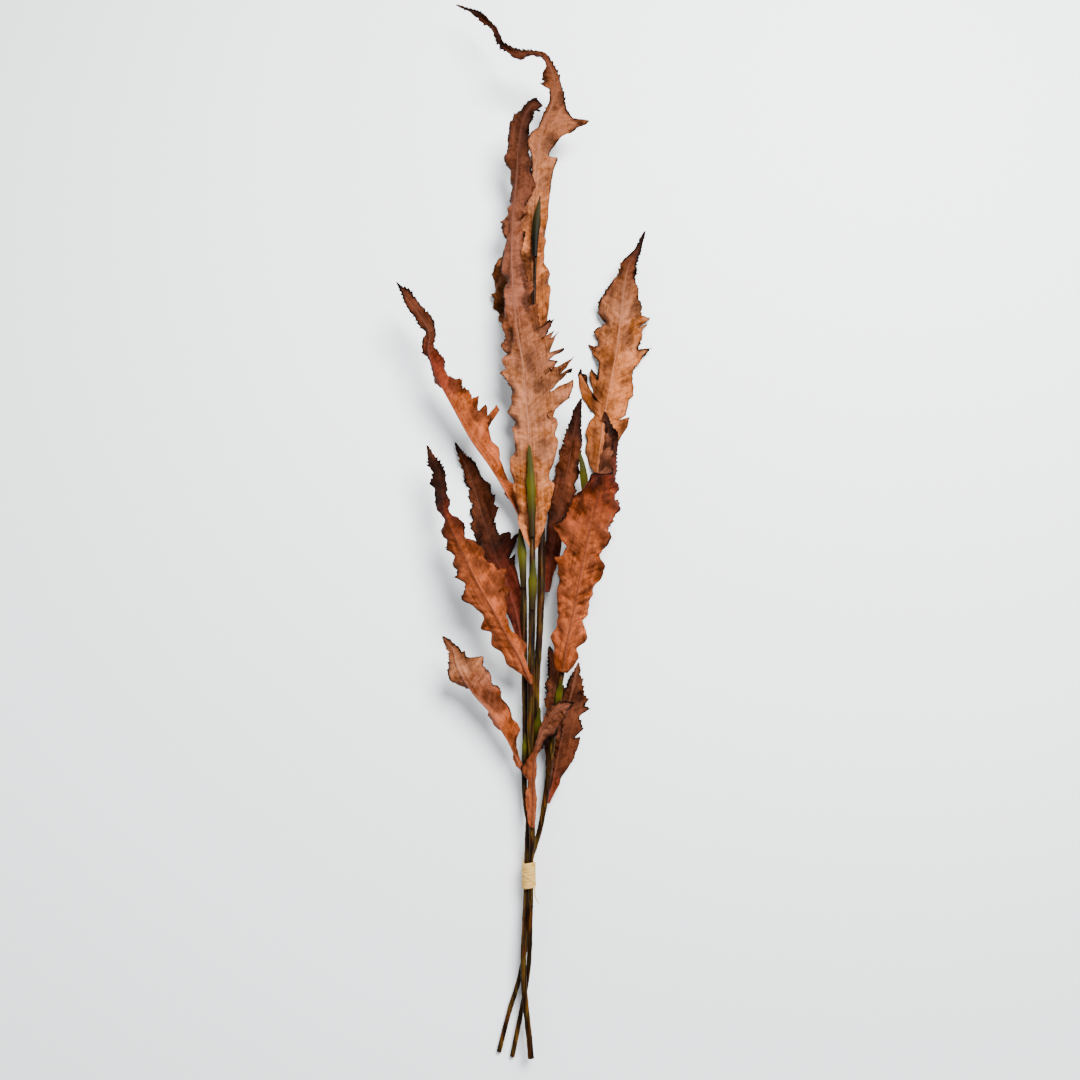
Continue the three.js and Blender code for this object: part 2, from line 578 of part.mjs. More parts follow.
// The raffia tie: one wound band whose turns show as ridges round an oval hole, with two loose ends.
function tieSolid() {
  const profile = [[0, 0]];
  for (let turn = 0; turn < TIE_TURNS; turn += 1) {
    profile.push([turn * TIE_TURN_WIDTH + 0.1, TIE_THICKNESS * 0.55]);
    profile.push([(turn + 0.5) * TIE_TURN_WIDTH, TIE_THICKNESS]);
  }
  profile.push([TIE_TURNS * TIE_TURN_WIDTH, TIE_THICKNESS * 0.5], [TIE_TURNS * TIE_TURN_WIDTH, 0]);
  const vertices = [];
  for (let i = 0; i < TIE_SEGMENTS; i += 1) {
    const angle = (2 * Math.PI * i) / TIE_SEGMENTS;
    for (const [along, out] of profile) {
      const x = TIE_HOLE.x + (TIE_HOLE.across + out) * Math.cos(angle);
      const z = TIE_HOLE.z + (TIE_HOLE.high + out) * Math.sin(angle);
      vertices.push(new THREE.Vector3(x, TIE_FOOT + along + 1.2 * Math.cos(angle), z));
    }
  }
  const triangles = [];
  for (let i = 0; i < TIE_SEGMENTS; i += 1)
    for (let j = 0; j < profile.length; j += 1) {
      const a = i * profile.length + j;
      const b = i * profile.length + ((j + 1) % profile.length);
      const [c, d] = [b, a].map((k) => (k + profile.length) % (TIE_SEGMENTS * profile.length));
      triangles.push(a, b, c, a, c, d);
    }
  const band = solidOf(geometryOf(vertices, triangles));
  const ends = [
    [[5, 152, 20], [5.2, 145, 21.2], [6, 139, 20.4], [9, 133.4, 18.4]],
    [[-4.4, 163, 20.2], [-5, 169, 21.4], [-6, 175, 22.2]],
  ];
  return ends
    .map((points) => stemSolid({ points, radii: [[0, 0.9], [1, 0.5]] }))
    .reduce((all, end) => all.add(end), band);
}

const bunch = new THREE.Group();
bunch.position.set(-MIDDLE_X, -MIDDLE_Y, 0);

function addPiece(name, solid, look) {
  const mesh = new THREE.Mesh(geometryFromSolid(solid), look);
  mesh.name = name;
  bunch.add(mesh);
}

for (const name of Object.keys(STEMS)) addPiece(name, wholeStem(name), material(BROWN));
for (const [name, leaf] of Object.entries(LEAVES)) addPiece(name, leafSolid(leaf), material(leaf.colour));
for (const [name, sheath] of Object.entries(SHEATHS)) addPiece(name, sheathSolid(sheath), material(OLIVE, 0.6));
addPiece("raffia_tie", tieSolid(), material(STRAW, 0.9));

const root = new THREE.Group();
root.add(bunch);
export default root;
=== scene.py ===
import math

import bpy
import numpy as np
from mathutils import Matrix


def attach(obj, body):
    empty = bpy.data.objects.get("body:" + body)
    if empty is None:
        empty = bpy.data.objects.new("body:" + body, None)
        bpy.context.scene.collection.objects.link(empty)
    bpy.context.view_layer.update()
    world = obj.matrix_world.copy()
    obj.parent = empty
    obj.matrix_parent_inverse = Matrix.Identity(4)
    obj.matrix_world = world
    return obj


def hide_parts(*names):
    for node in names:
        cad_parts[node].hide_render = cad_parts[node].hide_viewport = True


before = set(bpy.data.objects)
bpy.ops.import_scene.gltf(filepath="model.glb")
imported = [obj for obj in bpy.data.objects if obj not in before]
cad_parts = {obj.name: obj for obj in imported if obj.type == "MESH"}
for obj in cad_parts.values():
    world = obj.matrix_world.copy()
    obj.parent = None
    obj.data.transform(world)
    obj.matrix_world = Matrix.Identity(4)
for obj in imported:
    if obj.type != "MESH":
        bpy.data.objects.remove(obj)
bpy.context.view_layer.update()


# Camera
# The bunch lies on the floor and the camera looks down on it, a little tipped towards the leaf
# tips, as the photograph looks at the wall that the bunch leans on.
CAMERA_PLACE = (0.0145, -0.2391, 0.960)
CAMERA_TIP = math.radians(11.1)
CAMERA_LENS = 32.67

camera = bpy.data.objects.new("camera", bpy.data.cameras.new("camera"))
camera.data.lens = CAMERA_LENS
camera.location = CAMERA_PLACE
camera.rotation_euler = (CAMERA_TIP, 0, 0)
bpy.context.scene.collection.objects.link(camera)
bpy.context.scene.camera = camera


# Stems
# Three woody stems, dark brown with an olive cast, cut off square at the foot. Two of them fork:
# each side stalk grows out of its stem.
MM = 0.001
MIDDLE = np.array([-4.5, 526.1, 0])
STEM_SIDES = 28
# Each stem or side stalk has a route, [x, y, z] in millimetres from the cut ends, and its radii,
# [share of the route, radius].
STEMS = {
    "stem_left": [
        (
            [
                (2, 2, 14), (-1, 31, 15), (-4, 58, 16.4), (-5, 85, 17), (-3.8, 119, 16), (-2.6, 148, 15.4),
                (-2.4, 171, 15.2), (-1.6, 190, 15.2), (0.2, 225, 16), (3.6, 261, 18), (6.2, 298, 20),
                (7, 336, 22), (9.2, 373, 24), (10.8, 412, 25), (11.6, 451, 25), (10.6, 511, 24),
                (8, 583, 22), (5, 646, 20.5), (4, 720, 22.5), (6, 774, 26), (9, 815, 31),
            ],
            [
                (0, 2.8), (0.12, 2.6), (0.17, 2.3), (0.21, 2.3), (0.28, 2.9), (0.44, 3.1), (0.55, 3.8),
                (0.63, 3.2), (0.75, 2.3), (1, 1.1),
            ],
        ),
        (
            [
                (-1.8, 205, 15.6), (-4.2, 228, 17.5), (-4.6, 250, 20), (-3.8, 290, 22), (-4.4, 330, 23.4),
                (-5.2, 374, 25), (-5.6, 412, 26), (-6.4, 440, 27), (-7.6, 470, 28), (-9, 493, 28),
            ],
            [(0, 1.6), (0.12, 2.6), (0.45, 2.9), (0.7, 3.1), (0.85, 2.4), (1, 1.2)],
        ),
    ],
    "stem_middle": [
        (
            [
                (-15, 0, 2.2), (-10, 24, 5), (-5, 49, 8), (-0.4, 78, 11.6), (1.2, 119, 16.2),
                (1.8, 148, 18.6), (1.9, 171, 18.6), (2.7, 192, 21.2), (1.8, 226, 24), (1.3, 280, 28),
                (1.4, 332, 31.5), (2.4, 391, 34), (2.7, 458, 36), (2, 497, 37), (0.4, 546, 40),
            ],
            [(0, 2.2), (0.31, 2.2), (0.38, 3), (0.55, 3.4), (0.8, 3.2), (0.9, 2.2), (1, 1.1)],
        ),
    ],
    "stem_right": [
        (
            [
                (-27, 4, 2.2), (-18, 38, 3.2), (-8, 70, 5.5), (-1.4, 109, 9.4), (1.2, 148, 12.2),
                (1.7, 171, 12.2), (5.6, 184, 12.4), (10, 199, 13.4), (14, 220, 16), (18, 248, 19.5),
                (21, 275, 24), (24, 303, 29), (28, 328, 30.5), (35, 364, 28), (44, 412, 24),
                (51, 458, 20.5), (54.6, 505, 22), (51, 545, 27.5),
            ],
            [(0, 2.2), (0.31, 2.3), (0.42, 2.8), (0.55, 3), (0.65, 2.7), (0.8, 2.2), (1, 1.1)],
        ),
        (
            [(24.6, 306, 29.5), (27, 322, 32.4), (29.4, 336, 35.2)],
            [(0, 1.8), (0.5, 2.1), (1, 1.5)],
        ),
    ],
}
# How deep the bark's ridges are, in millimetres: the left stem is the roughest.
BARK_RELIEF = {"stem_left": 1.0, "stem_middle": 0.7, "stem_right": 0.7}


def seen(red, green, blue):
    """The share of light that a surface gives back to look like this colour, from 0 to 255, in a
    well lit room."""
    return tuple(0.64 * (value / 255) ** 2.7 for value in (red, green, blue)) + (1,)


def node(tree, kind, inputs=None, **settings):
    """Adds a node; an input is a value or the socket of another node that feeds it."""
    made = tree.nodes.new(kind)
    for key, value in settings.items():
        setattr(made, key, value)
    for key, value in (inputs or {}).items():
        if isinstance(value, bpy.types.NodeSocket):
            tree.links.new(value, made.inputs[key])
        else:
            made.inputs[key].default_value = value
    return made


def maths(tree, operation, *numbers):
    """One step of arithmetic; each number is a value or a socket."""
    return node(tree, "ShaderNodeMath", dict(enumerate(numbers)), operation=operation).outputs["Value"]


def stretched(tree, place, scale):
    """A place scaled along each axis, so that a pattern on it runs long one way."""
    return node(tree, "ShaderNodeVectorMath", {0: place, 1: scale}, operation="MULTIPLY").outputs["Vector"]


def noise(tree, place, scale, detail, roughness=0.5):
    """A cloudy pattern, from 0 to 1."""
    return node(tree, "ShaderNodeTexNoise", {
        "Vector": place, "Scale": scale, "Detail": detail, "Roughness": roughness,
    }).outputs["Fac"]


def blend(tree, factor, first, second):
    """A colour between two others: the first at factor 0, the second at 1."""
    mixed = node(tree, "ShaderNodeMix", {"Factor": factor, "A": first, "B": second}, data_type="RGBA")
    return mixed.outputs["Result"]


def new_material(name, roughness, gloss=0.2):
    """A material with its shader; the sections below link its colour and bump."""
    material = bpy.data.materials.new(name)
    material.use_nodes = True
    shader = material.node_tree.nodes["Principled BSDF"]
    shader.inputs["Roughness"].default_value = roughness
    shader.inputs["Specular IOR Level"].default_value = gloss
    return material, material.node_tree, shader


def add_bump(tree, shader, height, depth, strength=1.0):
    """Raises the surface by a height pattern, depth in metres."""
    bump = node(tree, "ShaderNodeBump", {"Height": height, "Distance": depth, "Strength": strength})
    tree.links.new(bump.outputs["Normal"], shader.inputs["Normal"])


def ramp(tree, factor, stops):
    """A colour ramp: stops are (position, colour)."""
    made = node(tree, "ShaderNodeValToRGB", {"Fac": factor})
    marks = made.color_ramp.elements
    while len(marks) < len(stops):
        marks.new(0.5)
    for mark, (position, colour) in zip(marks, stops):
        mark.position = position
        mark.color = colour
    return made.outputs["Color"]


def smooth_line(points, steps=24):
    """A smooth line through points: its places, and how far along it each one lies."""
    points = np.array(points, float)
    knots = np.vstack([2 * points[0] - points[1], points, 2 * points[-1] - points[-2]])
    gaps = np.sqrt(np.linalg.norm(np.diff(knots, axis=0), axis=1))
    share = np.linspace(0, 1, steps, endpoint=False)[:, None]
    places = []
    for i in range(len(points) - 1):
        before, here, there, after = knots[i:i + 4]
        gap_before, gap, gap_after = gaps[i:i + 3]
        slope_before = (here - before) / gap_before
        slope = (there - here) / gap
        slope_after = (after - there) / gap_after
        leave = gap * (slope_before - (there - before) / (gap_before + gap) + slope)
        arrive = gap * (slope - (after - here) / (gap + gap_after) + slope_after)
        second = 3 * (there - here) - 2 * leave - arrive
        third = 2 * (here - there) + leave + arrive
        places.append(here + leave * share + second * share ** 2 + third * share ** 3)
    places = np.vstack(places + [points[-1:]])
    along = np.concatenate([[0], np.cumsum(np.linalg.norm(np.diff(places, axis=0), axis=1))])
    return places, along


def add_object(name, mesh):
    """A new object in the scene, at the origin."""
    made = bpy.data.objects.new(name, mesh)
    bpy.context.scene.collection.objects.link(made)
    return made


def apply_modifiers(piece):
    """Turns the evaluated piece into a plain mesh and removes its modifiers."""
    depsgraph = bpy.context.evaluated_depsgraph_get()
    mesh = bpy.data.meshes.new_from_object(piece.evaluated_get(depsgraph))
    piece.modifiers.clear()
    piece.data = mesh
    mesh.name = piece.name


def lay_on_floor(piece):
    """Presses whatever would sink below the floor up to it."""
    places = np.zeros(len(piece.data.vertices) * 3)
    piece.data.vertices.foreach_get("co", places)
    places[2::3] = np.maximum(places[2::3], 0)
    piece.data.vertices.foreach_set("co", places)
    piece.data.update()


def set_input(modifier, name, value):
    """Sets a named input of a Geometry Nodes modifier by its socket's identifier."""
    socket = modifier.node_group.interface.items_tree[name]
    modifier[socket.identifier] = value


def new_group(name, inputs, output):
    """A new Geometry Nodes tree with named sockets, and the sockets that its inputs arrive by."""
    tree = bpy.data.node_groups.new(name, "GeometryNodeTree")
    for socket, kind in inputs.items():
        tree.interface.new_socket(socket, in_out="INPUT", socket_type="NodeSocket" + kind)
    tree.interface.new_socket(output, in_out="OUTPUT", socket_type="NodeSocketGeometry")
    return tree, node(tree, "NodeGroupInput").outputs


def finish_group(tree, geometry, material, output):
    """Ends a tree: instances made real, the material put on and the whole handed out."""
    real = node(tree, "GeometryNodeRealizeInstances", {"Geometry": geometry}).outputs["Geometry"]
    dressed = node(tree, "GeometryNodeSetMaterial", {"Geometry": real, "Material": material})
    node(tree, "NodeGroupOutput", {output: dressed.outputs["Geometry"]})


def bark_tree():
    """Geometry Nodes: a tube along a line, with the bark's long ridges and its scaly crust."""
    tree, given = new_group("bark along a line", {
        "Line": "Geometry", "Relief": "Float", "Sides": "Int", "Bark": "Material",
    }, "Stem")
    line = node(tree, "GeometryNodeMeshToCurve", {"Mesh": given["Line"]})
    circle = node(tree, "GeometryNodeCurvePrimitiveCircle", {"Resolution": given["Sides"], "Radius": 1.0})
    radius = node(tree, "GeometryNodeInputNamedAttribute", {"Name": "radius_m"}, data_type="FLOAT")
    tube = node(tree, "GeometryNodeCurveToMesh", {
        "Curve": line.outputs["Curve"], "Profile Curve": circle.outputs["Curve"],
        "Scale": radius.outputs["Attribute"], "Fill Caps": True,
    })
    place = node(tree, "GeometryNodeInputPosition").outputs["Position"]
    ridges = noise(tree, stretched(tree, place, (700, 60, 700)), 1.0, 3.0)
    crust = noise(tree, place, 420.0, 4.0, 0.7)
    centred = maths(tree, "SUBTRACT", maths(tree, "ADD", ridges, crust), 1.0)
    height = maths(tree, "MULTIPLY", centred, given["Relief"])
    normal = node(tree, "GeometryNodeInputNormal").outputs["Normal"]
    offset = node(tree, "ShaderNodeVectorMath", {0: normal, "Scale": height}, operation="SCALE")
    moved = node(tree, "GeometryNodeSetPosition", {
        "Geometry": tube.outputs["Mesh"], "Offset": offset.outputs["Vector"],
    })
    smooth = node(tree, "GeometryNodeSetShadeSmooth", {"Geometry": moved.outputs["Geometry"]})
    finish_group(tree, smooth.outputs["Geometry"], given["Bark"], "Stem")
    return tree


def bark_material():
    """Dark brown bark with an olive cast, streaked along the stem, and a dull shine."""
    material, tree, shader = new_material("stem bark", 0.5, 0.06)
    place = node(tree, "ShaderNodeTexCoord").outputs["Object"]
    streaks = noise(tree, stretched(tree, place, (420, 28, 420)), 1.0, 4.0)
    patches = noise(tree, place, 55.0, 3.0)
    brown = ramp(tree, streaks, [(0.3, seen(20, 11, 5)), (0.5, seen(58, 34, 13)), (0.7, seen(116, 74, 28))])
    olive = ramp(tree, streaks, [(0.3, seen(26, 18, 7)), (0.5, seen(66, 50, 16)), (0.7, seen(120, 94, 38))])
    share = node(tree, "ShaderNodeMapRange", {"Value": patches, "From Min": 0.42, "From Max": 0.62})
    tree.links.new(blend(tree, share.outputs["Result"], brown, olive), shader.inputs["Base Color"])
    add_bump(tree, shader, streaks, 0.0003, 0.6)
    return material


bark = bark_material()
bark_nodes = bark_tree()


def stem_tube(name, points, radii):
    """One round stem or stalk, made by the bark nodes along its route."""
    places, along = smooth_line(points, steps=16)
    mesh = bpy.data.meshes.new(name)
    mesh.from_pydata((places - MIDDLE) * MM, [(i, i + 1) for i in range(len(places) - 1)], [])
    shares, sizes = zip(*radii)
    radius = mesh.attributes.new("radius_m", "FLOAT", "POINT")
    radius.data.foreach_set("value", np.interp(along / along[-1], shares, sizes) * MM)
    tube = add_object(name, mesh)
    modifier = tube.modifiers.new("bark", "NODES")
    modifier.node_group = bark_nodes
    set_input(modifier, "Relief", BARK_RELIEF[name] * MM)
    set_input(modifier, "Sides", STEM_SIDES)
    set_input(modifier, "Bark", bark)
    apply_modifiers(tube)
    return tube


def join(piece, others):
    """Joins other objects' meshes into one piece."""
    with bpy.context.temp_override(active_object=piece, selected_editable_objects=[piece, *others]):
        bpy.ops.object.join()


for name, routes in STEMS.items():
    stem, *stalks = [stem_tube(name, *route) for route in routes]
    if stalks:
        join(stem, stalks)
    stem.name = "bark_" + name
    lay_on_floor(stem)
    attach(stem, "root")
    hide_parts(name)


# Leaves
# Twelve dried leaves, papery and stiff, each growing from its stem by the foot of its rib. They
# dried in waves: the margins are torn into lobes, curled and burnt dark.
FIRST_LEAF_SEED = 40
LEAF_THICKNESS = 0.55
TIP_HALF_WIDTH = 0.7
RIB_RADIUS = 1.05
VEIN_LEAN = 0.7
VEIN_SPACING = 8.0
VEIN_HEIGHT = 0.16
# The waves and folds of a dried blade, in millimetres.
RUFFLE_LENGTH = 46
SWELL_HEIGHT = 0.4
CRUMPLES = 8
CRUMPLE_LENGTHS = (9, 46)
CRUMPLE_STEEPNESS = 0.03
CREASE_SPACING = 9.5
CREASE_HEIGHT = 0.6
WRINKLE_SETS = 5
WRINKLE_SPACINGS = (6, 12)
WRINKLE_HEIGHT = 0.9
CURLED_WIDTH = 8
CURL_HEIGHT = 6
# The small teeth of a torn margin: their lengths along it and the deepest.
TOOTH_LENGTHS = (2.6, 6.5)
TOOTH_DEPTH = 3.2
# The torn fibres on a leaf's margin: the share of its points that bear one, and the longest.
FIBRE_SHARE = 0.05
LONGEST_FIBRE = 3.5
# How a blade's points are spaced, in millimetres: the rows along the rib, the room that a lobe
# leaves in front of a notch, and the columns out to the margin.
ROW_STEP = 0.9
LEAST_ROW_STEP = 2
NOTCH_DEPTH = 3
NOTCH_ROOM = 1
RIB_COLUMNS = np.array([0.35, 0.7, 1.05, 1.5, 2.2])
FAR_SHARES = np.linspace(0, 1, 12)[1:]

# The colours of dried leaves, from the palest to the burnt margins.
TAN = seen(176, 114, 76)
MAUVE = seen(146, 90, 64)
GOLD = seen(188, 112, 54)
CORAL = seen(174, 92, 36)
RUST = seen(134, 58, 26)
BROWN = seen(114, 64, 36)
UMBER = seen(80, 42, 22)
SOOT = seen(28, 15, 9)

# A leaf is drawn along its rib, [x, y, z] in millimetres; its edges are points [along the rib, out
# from it]; a row of bends is [along, roll, left fold, left curl, right fold, right curl], in degrees
# and degrees a centimetre. The colours of each face, and how light each half is beside them, are
# [share of the length, value]. How light each half is comes partly from the leaf's own tone and
# partly from painted shade, darker where a half turns away from the light or lies in shade.
LEAVES = {
    "leaf_top": dict(
        rib=[
            (4, 621, 16.5), (3, 675, 17), (2.4, 723, 19), (2, 777, 22), (3.4, 831, 26), (8.4, 886, 31),
            (17.6, 919, 37), (25, 942, 42), (23.6, 961, 49), (13, 977, 56), (-2, 979, 57), (-15, 980, 56),
            (-26, 993, 52), (-39, 1018, 47), (-54, 1037, 43), (-80, 1052, 40),
        ],
        left=[
            (0, 3), (30, 12), (72, 28), (85, 37), (92, 36), (101, 45), (108, 43), (114, 49), (126, 45),
            (134, 48), (147, 42), (153, 39), (158, 22), (201, 15), (215, 8), (240, 4), (258, 6), (269, 14),
            (280, 12), (288, 6), (318, 4), (324, 6), (335, 16), (340, 9), (349, 12), (358, 6), (373, 9),
            (379, 6), (388, 10), (396, 7), (408, 6), (424, 4.5), (438, 3), (450, 4), (458, 6), (468, 4),
            (478, 2),
        ],
        right=[
            (0, 3), (40, 11), (73, 15), (102, 17), (133, 21), (140, 12), (157, 13), (190, 16), (212, 16),
            (234, 18), (262, 21), (259, 11), (272, 14), (282, 19), (294, 29), (313, 43), (309, 26),
            (314, 17), (325, 11), (339, 7), (352, 5), (366, 4), (384, 5), (400, 6), (414, 4.5), (432, 3),
            (448, 3.5), (460, 5), (470, 3), (478, 2),
        ],
        bends=[
            (0, 0, -10, 0, 5, 0), (100, 0, -25, 0, 5, -10), (160, 0, -10, -10, 10, -15),
            (260, 0, 10, -10, 10, -15), (320, 8, 20, 20, 0, 0), (350, 0, 20, 25, -10, -15),
            (380, 0, 35, 25, 10, 0), (420, 0, 30, 20, 25, 15), (497, 0, 5, 0, 5, 0),
        ],
        slot="dried_leaf_pale", back_up=False, ragged=0.5,
        top=[(0, GOLD), (0.3, GOLD), (0.5, TAN), (0.75, BROWN), (1, UMBER)],
        under=[(0, BROWN), (0.4, UMBER), (0.8, RUST), (1, UMBER)],
        left_tone_and_shade=[(0, 0.3), (0.31, 0.3), (0.34, 0.85), (0.7, 0.8), (0.8, 0.6)],
        right_tone_and_shade=[(0, 0.9), (0.5, 0.85), (0.7, 0.9), (0.8, 1)],
    ),
    "leaf_front_tall": dict(
        rib=[
            (3, 459, 32), (1, 508, 33), (0, 558, 36), (-3, 603, 40), (-7, 643, 44), (-13, 684, 46),
            (-18, 737, 46), (-18, 793, 44), (-14, 850, 43), (-12, 878, 46), (-9.6, 897, 51), (-4, 911, 57),
            (4, 917, 61), (13, 916, 62),
        ],
        left=[
            (0, 3), (9, 8), (23, 12), (47, 14), (72, 18), (99, 18), (108, 14), (121, 15), (131, 17),
            (142, 24), (148, 17), (160, 15), (171, 18), (180, 22), (184, 16), (197, 26), (201, 18),
            (211, 22), (216, 15), (228, 14), (264, 9), (280, 13), (316, 12), (337, 9), (345, 14), (350, 9),
            (380, 10), (388, 13), (392, 10), (412, 11), (420, 14), (428, 11), (444, 11), (460, 9), (470, 6),
        ],
        right=[
            (0, 3), (16, 11), (35, 17), (50, 20), (70, 24), (94, 27), (120, 29), (130, 27), (133, 18),
            (139, 30), (147, 42), (158, 48), (165, 49), (153, 22), (162, 31), (169, 42), (174, 51),
            (171, 38), (182, 53), (176, 27), (182, 36), (184, 28), (192, 37), (198, 42), (194, 27),
            (207, 35), (215, 40), (205, 29), (217, 37), (211, 27), (229, 38), (222, 23), (244, 22),
            (255, 24), (254, 19), (277, 24), (275, 18), (296, 15), (305, 13), (330, 10), (346, 13),
            (366, 15), (386, 21), (392, 17), (408, 15), (420, 11), (434, 9), (448, 10), (462, 8), (472, 6),
        ],
        bends=[
            (0, 0, 30, -35, 30, -30), (90, 0, 26, -32, 28, -28), (125, 0, 5, -20, 8, -10),
            (170, 0, -8, -12, 0, 6), (230, 0, -12, -25, -5, 0), (280, 0, -25, -30, -15, -20),
            (400, 0, -25, -40, -10, -25), (440, 0, -10, -30, 10, 10), (475, 0, -5, 0, 5, 0),
        ],
        slot="dried_leaf_pale", back_up=False, ragged=0.22, lean=0.45,
        top=[(0, GOLD), (0.2, TAN), (0.35, TAN), (0.5, MAUVE), (0.7, MAUVE), (1, BROWN)],
        under=[(0, RUST), (0.4, BROWN), (1, UMBER)],
        left_tone_and_shade=[(0, 0.95), (0.28, 0.75), (0.42, 0.85), (0.6, 0.8), (0.8, 0.55)],
        right_tone_and_shade=[(0, 1), (0.25, 1), (0.33, 0.75), (0.5, 0.8), (0.65, 0.85), (0.85, 0.45)],
    ),
    "leaf_left_high": dict(
        rib=[
            (-11, 495, 25), (-21, 513, 27), (-38, 540, 32), (-58, 568, 38), (-75, 598, 44), (-92, 630, 48),
            (-100, 656, 50), (-99, 672, 52), (-108, 690, 54), (-119, 705, 54), (-133, 727, 52),
        ],
        left=[
            (0, 2), (30, 9), (60, 13), (85, 16), (90, 12), (112, 18), (118, 13), (138, 20), (146, 14),
            (160, 17), (172, 11), (188, 6), (201, 6), (205, 4), (213, 7), (219, 6), (233, 6), (250, 3),
        ],
        right=[
            (0, 3), (21, 8), (44, 11), (54, 15), (76, 17), (92, 23), (104, 39), (101, 27), (115, 34),
            (111, 22), (123, 29), (123, 21), (134, 24), (138, 20), (149, 22), (160, 15), (172, 16),
            (181, 9), (190, 6), (208, 9), (218, 10), (225, 7), (236, 9), (250, 6),
        ],
        bends=[
            (0, 0, -60, 0, -8, -12), (45, 0, -132, 0, -10, -12), (95, 0, -128, 0, -4, 0),
            (140, 0, -118, 0, -8, -6), (185, 0, -60, 0, -20, -18), (215, 0, -20, 0, -20, 0),
            (266, 0, 0, 0, 0, 0),
        ],
        slot="dried_leaf_orange", back_up=False, ragged=0.35,
        top=[(0, CORAL), (0.45, CORAL), (0.62, RUST), (0.75, BROWN), (1, BROWN)],
        under=[(0, BROWN), (0.3, SOOT), (0.7, SOOT), (1, UMBER)],
        left_tone_and_shade=[(0, 0.6), (0.6, 0.5), (0.8, 0.8)],
        right_tone_and_shade=[(0, 1.05), (0.55, 0.9), (0.8, 0.75)],
    ),
    "leaf_right_high": dict(
        rib=[
            (55, 456, 16.5), (59, 485, 10), (63, 514, 4), (69, 555, 0.4), (76, 604, 0.4), (84, 647, 7),
            (90, 681, 14), (94, 716, 19), (101, 757, 25), (110, 773, 28), (118, 792, 33),
        ],
        left=[
            (0, 2), (40, 3), (91, 4), (99, 9), (110, 14), (130, 16), (144, 14), (152.5, 9), (166, 25),
            (182, 36), (197, 36), (169, 14), (186, 20), (198, 23), (187, 14), (206, 16), (212, 22),
            (222, 36), (225, 23), (234, 28), (242, 28), (250, 17), (260, 28), (265, 24), (280, 20),
            (290, 14), (308, 8), (330, 4),
        ],
        right=[
            (0, 2), (40, 6), (92, 11), (125, 17), (142, 24), (155, 26), (149, 14), (156, 21), (173, 20),
            (178, 25), (198, 21), (209, 23), (230, 35), (225, 20), (237, 24), (252, 29), (247, 21),
            (262, 34), (262, 24), (271, 24), (277, 17), (290, 13), (300, 9), (318, 5), (334, 3),
        ],
        bends=[
            (0, 0, -5, 0, -5, 0), (60, 0, 4, -10, 4, -10), (100, 0, 0, 0, 0, 0), (150, 0, 0, 0, 0, 0),
            (180, 0, 4, -12, 0, -10), (230, 0, -5, -15, 0, -15), (300, 0, -20, 0, -22, 0),
            (347, 0, 0, 0, 0, 0),
        ],
        slot="dried_leaf_pale", back_up=False, ragged=0.5,
        top=[(0, GOLD), (0.4, GOLD), (0.6, GOLD), (0.75, TAN), (0.9, BROWN), (1, UMBER)],
        under=[(0, RUST), (0.5, BROWN), (1, UMBER)],
        left_tone_and_shade=[(0, 0.5), (0.4, 0.7), (0.6, 0.6), (0.9, 0.8)],
        right_tone_and_shade=[(0, 0.75), (0.5, 1), (0.75, 0.85), (1, 0.7)],
    ),
    "leaf_back_dark": dict(
        rib=[
            (17, 420, 21), (22, 462, 17), (29, 500, 16), (36, 534, 18), (41, 562, 21), (45, 586, 24),
            (51, 613, 29),
        ],
        left=[
            (0, 2), (25, 6), (60, 9), (90, 12), (100, 10), (111, 14), (116, 11), (125, 13), (131, 10),
            (142, 12), (148, 9), (158, 10), (170, 7), (184, 5),
        ],
        right=[
            (0, 2), (30, 7), (70, 10), (105, 12), (111, 9), (124, 13), (130, 10), (140, 12), (146, 9),
            (157, 10), (171, 6), (184, 4),
        ],
        bends=[
            (0, 0, 10, 0, 10, 0), (60, 0, 18, -20, 18, -20), (130, 0, 22, -25, 18, -25),
            (196, 0, 0, 0, 0, 0),
        ],
        slot="dried_leaf_dark", back_up=False, ragged=0.3,
        top=[(0, RUST), (0.35, UMBER), (0.6, BROWN), (0.85, UMBER), (1, SOOT)],
        under=[(0, UMBER), (1, SOOT)],
        left_tone_and_shade=[(0, 0.8), (0.6, 0.9), (1, 1)],
        right_tone_and_shade=[(0, 0.6), (0.6, 1.2), (1, 1)],
    ),
    "leaf_right_front": dict(
        rib=[
            (31, 342, 37), (37, 376, 43), (44, 411, 48), (50, 442, 52), (57, 474, 55), (63, 498, 56),
            (68, 523, 56), (73, 551, 53), (76, 574, 50), (73, 593, 48),
        ],
        left=[
            (0, 5), (6, 9), (14, 12), (30, 16), (41, 15), (69, 18), (76, 20), (86, 18), (94, 21), (104, 28),
            (107, 21), (117, 19), (125, 29), (135, 37), (140, 28), (150, 24), (161, 24), (177, 28),
            (178, 23), (190, 28), (196, 25), (206, 27), (211, 23), (220, 24), (226, 18), (236, 14),
            (246, 6),
        ],
        right=[
            (0, 4), (7, 8), (15, 12), (24, 11), (30, 15), (42, 17), (51, 13), (58, 17), (69, 14), (82, 18),
            (97, 22), (114, 18), (129, 18), (142, 21), (152, 24), (161, 24), (174, 27), (171, 19),
            (182, 23), (192, 17), (203, 18), (212, 13), (224, 12), (241, 5),
        ],
        bends=[
            (0, 0, -20, 0, -20, 0), (40, 0, -14, -6, -14, -6), (130, 0, -8, 5, -10, -10),
            (165, 0, 8, 20, -12, -12), (190, 0, 50, 48, -18, -12), (232, 0, 50, 48, -18, 0),
            (257, 0, 0, 0, 0, 0),
        ],
        slot="dried_leaf_orange", back_up=True, ragged=0.4,
        top=[(0, CORAL), (0.5, CORAL), (0.75, RUST), (0.92, BROWN), (1, UMBER)],
